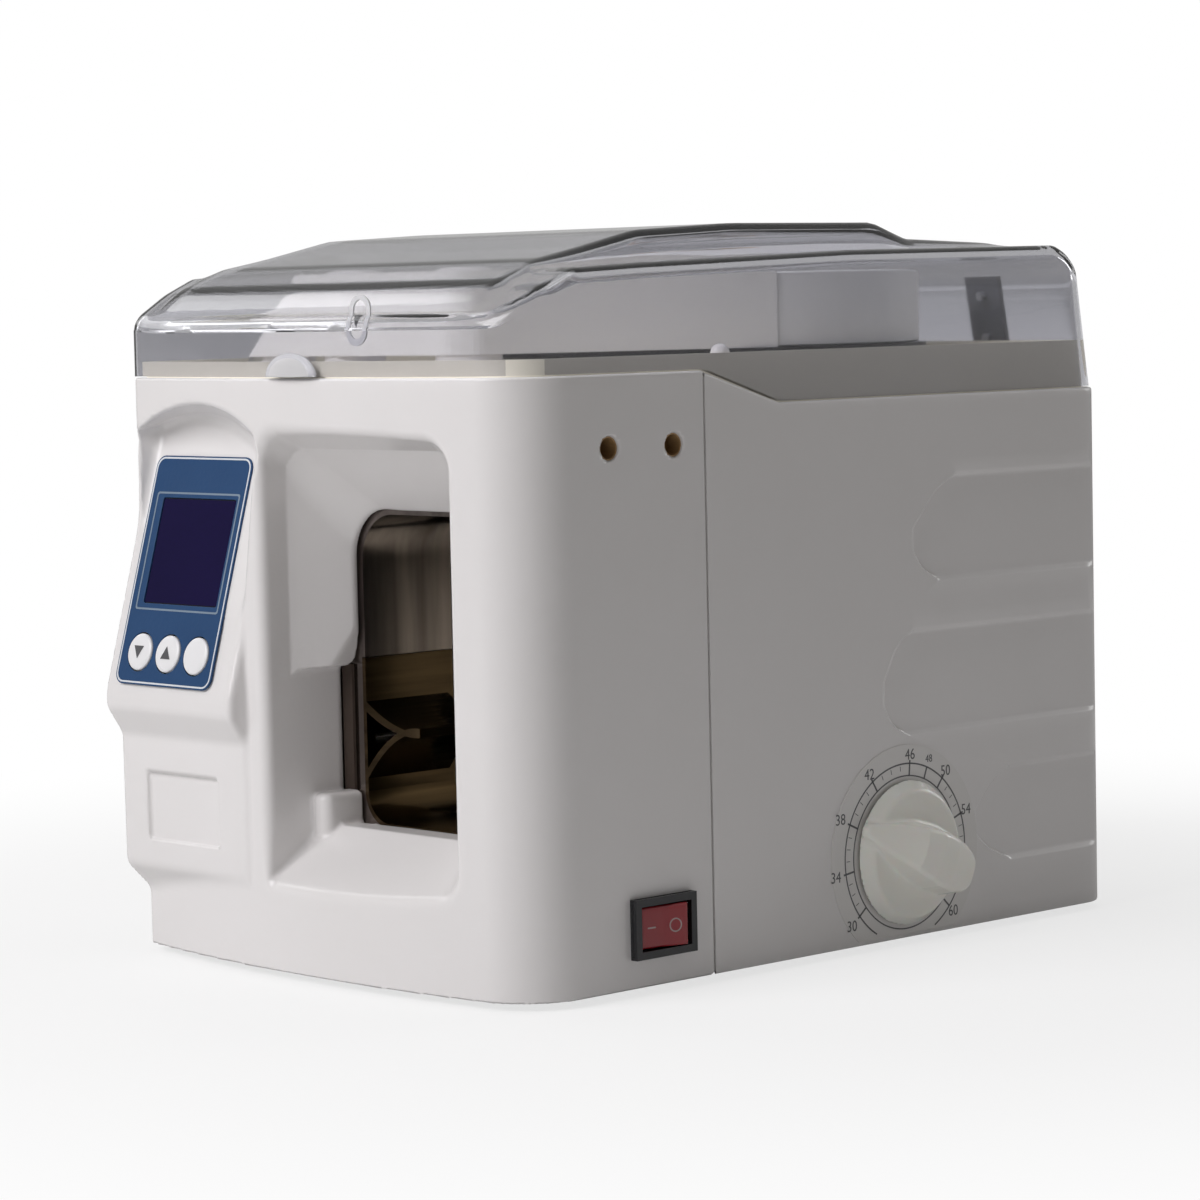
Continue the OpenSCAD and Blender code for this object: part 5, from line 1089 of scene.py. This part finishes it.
def knob_distance(x, y, z):
    """The knob: a low skirt that narrows from 19.3 to 16.6 mm in radius, joined to the grip.

    The grip is leaf-shaped, wide at the blunt end, and its crowned top sinks to the pointer."""
    out = x - KNOB_X
    u = (y - DIAL[1]) * math.cos(POINTER) + (z - DIAL[2]) * math.sin(POINTER)
    w = -(y - DIAL[1]) * math.sin(POINTER) + (z - DIAL[2]) * math.cos(POINTER)
    skirt = round_and((np.hypot(u, w) - 19.3 + 0.75 * out) * 0.8, out - 3.6, 0.7)
    along = (u + 17) / 37.5
    half = np.interp(along, [-0.1, 0, 0.06, 0.16, 0.35, 0.55, 0.75, 0.9, 1.0, 1.1],
                     [1.5, 3.8, 5.2, 6.3, 6.6, 5.8, 4.3, 2.7, 1.2, 0.3])
    top = np.interp(along, [0, 0.28, 0.45, 0.6, 0.85, 1], [9.6, 12.0, 12.6, 11.6, 6.2, 3.0])
    side = (np.abs(w) - half - 0.22 * (top - out)) * 0.95
    grip = round_and(side, np.abs(u - 1.75) - 18.75, 1.5) * 0.9
    grip = round_and(grip, (out - top + 0.03 * w * w) * 0.95, 0.8)
    solid = round_or(skirt, np.maximum(grip, 1 - out), 1.2)
    return np.maximum(solid, -out)


points, quads, normals = skin(knob_distance, (76.9, 111, 2), (92, 153, 44), 0.5)
dress("knob_white", moulded("knob_white", (0.95, 0.94, 0.88), (0.91, 0.90, 0.83), 0.22, 60,
                            Subsurface_Weight=0.15, Subsurface_Scale=0.003))
piece("milky_knob", points, quads, "knob", "knob_white", ["position_knob"], normals)


# ---------------------------------------------------------------- mechanism and base
# Everything behind the housings keeps its solid's shape, in the metal, board or rubber it is.

dress("grey_plastic", moulded("grey_plastic", (0.25, 0.255, 0.27), (0.21, 0.215, 0.23), 0.4))
dress("pcb_green", moulded("pcb_green", (0.01, 0.12, 0.045), (0.015, 0.09, 0.03), 0.3, 300))
dress("rubber_black", moulded("rubber_black", (0.02, 0.02, 0.02), (0.03, 0.03, 0.03), 0.75,
                              depth=0.2))
dress("steel", drawn("steel", (0.52, 0.52, 0.51), (0.40, 0.40, 0.39), 0.3))
dress("brass", drawn("brass", (0.60, 0.42, 0.16), (0.48, 0.32, 0.10), 0.3))
dress("blade_steel", drawn("blade_steel", (0.62, 0.63, 0.65), (0.5, 0.5, 0.52), 0.15))


# ---------------------------------------------------------------- studio
# A pale floor that melts into a white surround, a large soft lamp at the front, and weaker ones at
# the left, over the top and behind.
world = bpy.data.worlds.new("surround")
bpy.context.scene.world = world
world.use_nodes = True
tree = world.node_tree
tree.nodes.clear()
path = wire(tree, "ShaderNodeLightPath", {})
through = wire(tree, "ShaderNodeMath", {0: (path, "Is Transmission Ray"), 1: 0.6},
               operation="MULTIPLY")
seen = wire(tree, "ShaderNodeMath", {0: (path, "Is Camera Ray"), 1: (through, 0)},
            operation="MAXIMUM")
mirrored = wire(tree, "ShaderNodeMath", {0: (path, "Is Glossy Ray"), 1: 0.45},
                operation="MULTIPLY")
seen = wire(tree, "ShaderNodeMath", {0: (seen, 0), 1: (mirrored, 0)}, operation="MAXIMUM")
colour = wire(tree, "ShaderNodeMix", {0: (seen, 0)}, data_type="RGBA")
colour.inputs[6].default_value = (0.108, 0.104, 0.10, 1)
colour.inputs[7].default_value = (1, 1, 1, 1)
glow = wire(tree, "ShaderNodeBackground", {"Color": (colour, 2), "Strength": 1.0})
wire(tree, "ShaderNodeOutputWorld", {"Surface": (glow, 0)})

floor = bpy.data.objects.new("floor", bpy.data.meshes.new("floor"))
floor.data.from_pydata([(-9, -9, 0), (9, -9, 0), (9, 9, 0), (-9, 9, 0)], [], [(0, 1, 2, 3)])
bpy.context.scene.collection.objects.link(floor)
ground = bpy.data.materials.new("ground")
ground.use_nodes = True
tree = ground.node_tree
tree.nodes.clear()
path = wire(tree, "ShaderNodeLightPath", {})
where = wire(tree, "ShaderNodeTexCoord", {})
away = wire(tree, "ShaderNodeVectorMath", {0: (where, "Object")}, operation="LENGTH")
fade = wire(tree, "ShaderNodeMapRange", {"Value": (away, "Value"), "From Min": 0.12,
                                         "From Max": 0.45, "To Min": 0.72, "To Max": 1.0},
            interpolation_type="SMOOTHSTEP")
matt = wire(tree, "ShaderNodeBsdfDiffuse", {"Color": (0.86, 0.86, 0.86, 1)})
white = wire(tree, "ShaderNodeEmission", {"Color": (1, 1, 1, 1), "Strength": 1.0})
seen = wire(tree, "ShaderNodeMath", {0: (path, "Is Camera Ray"), 1: (path, "Is Transmission Ray")},
            operation="MAXIMUM")
share = wire(tree, "ShaderNodeMath", {0: (seen, 0), 1: (fade, 0)}, operation="MULTIPLY")
both = wire(tree, "ShaderNodeMixShader", {0: (share, 0), 1: (matt, 0), 2: (white, 0)})
wire(tree, "ShaderNodeOutputMaterial", {"Surface": (both, 0)})
floor.data.materials.append(ground)


def lamp(name, azimuth, height, distance, size, power, colour=(1, 1, 1)):
    """A square area lamp at an azimuth from the front, aimed at the middle of the machine."""
    made = bpy.data.objects.new(name, bpy.data.lights.new(name, "AREA"))
    bpy.context.scene.collection.objects.link(made)
    made.data.size, made.data.energy, made.data.color = size, power, colour
    turn = math.radians(azimuth)
    at = Vector((math.sin(turn) * distance, -math.cos(turn) * distance, height))
    made.location = at
    made.rotation_mode = "QUATERNION"
    made.rotation_quaternion = (Vector((0, 0, 0.09)) - at).to_track_quat("-Z", "Y")
    return made


lamp("key", -9, 0.85, 1.15, 0.8, 12.4, (1, 0.985, 1))
lamp("left", -80, 0.8, 1.1, 0.6, 2)
lamp("top", 180, 1.5, 0.15, 0.8, 3)
lamp("back", 166, 0.5, 1.3, 0.5, 2.2)

bpy.context.scene.view_settings.view_transform = "Standard"
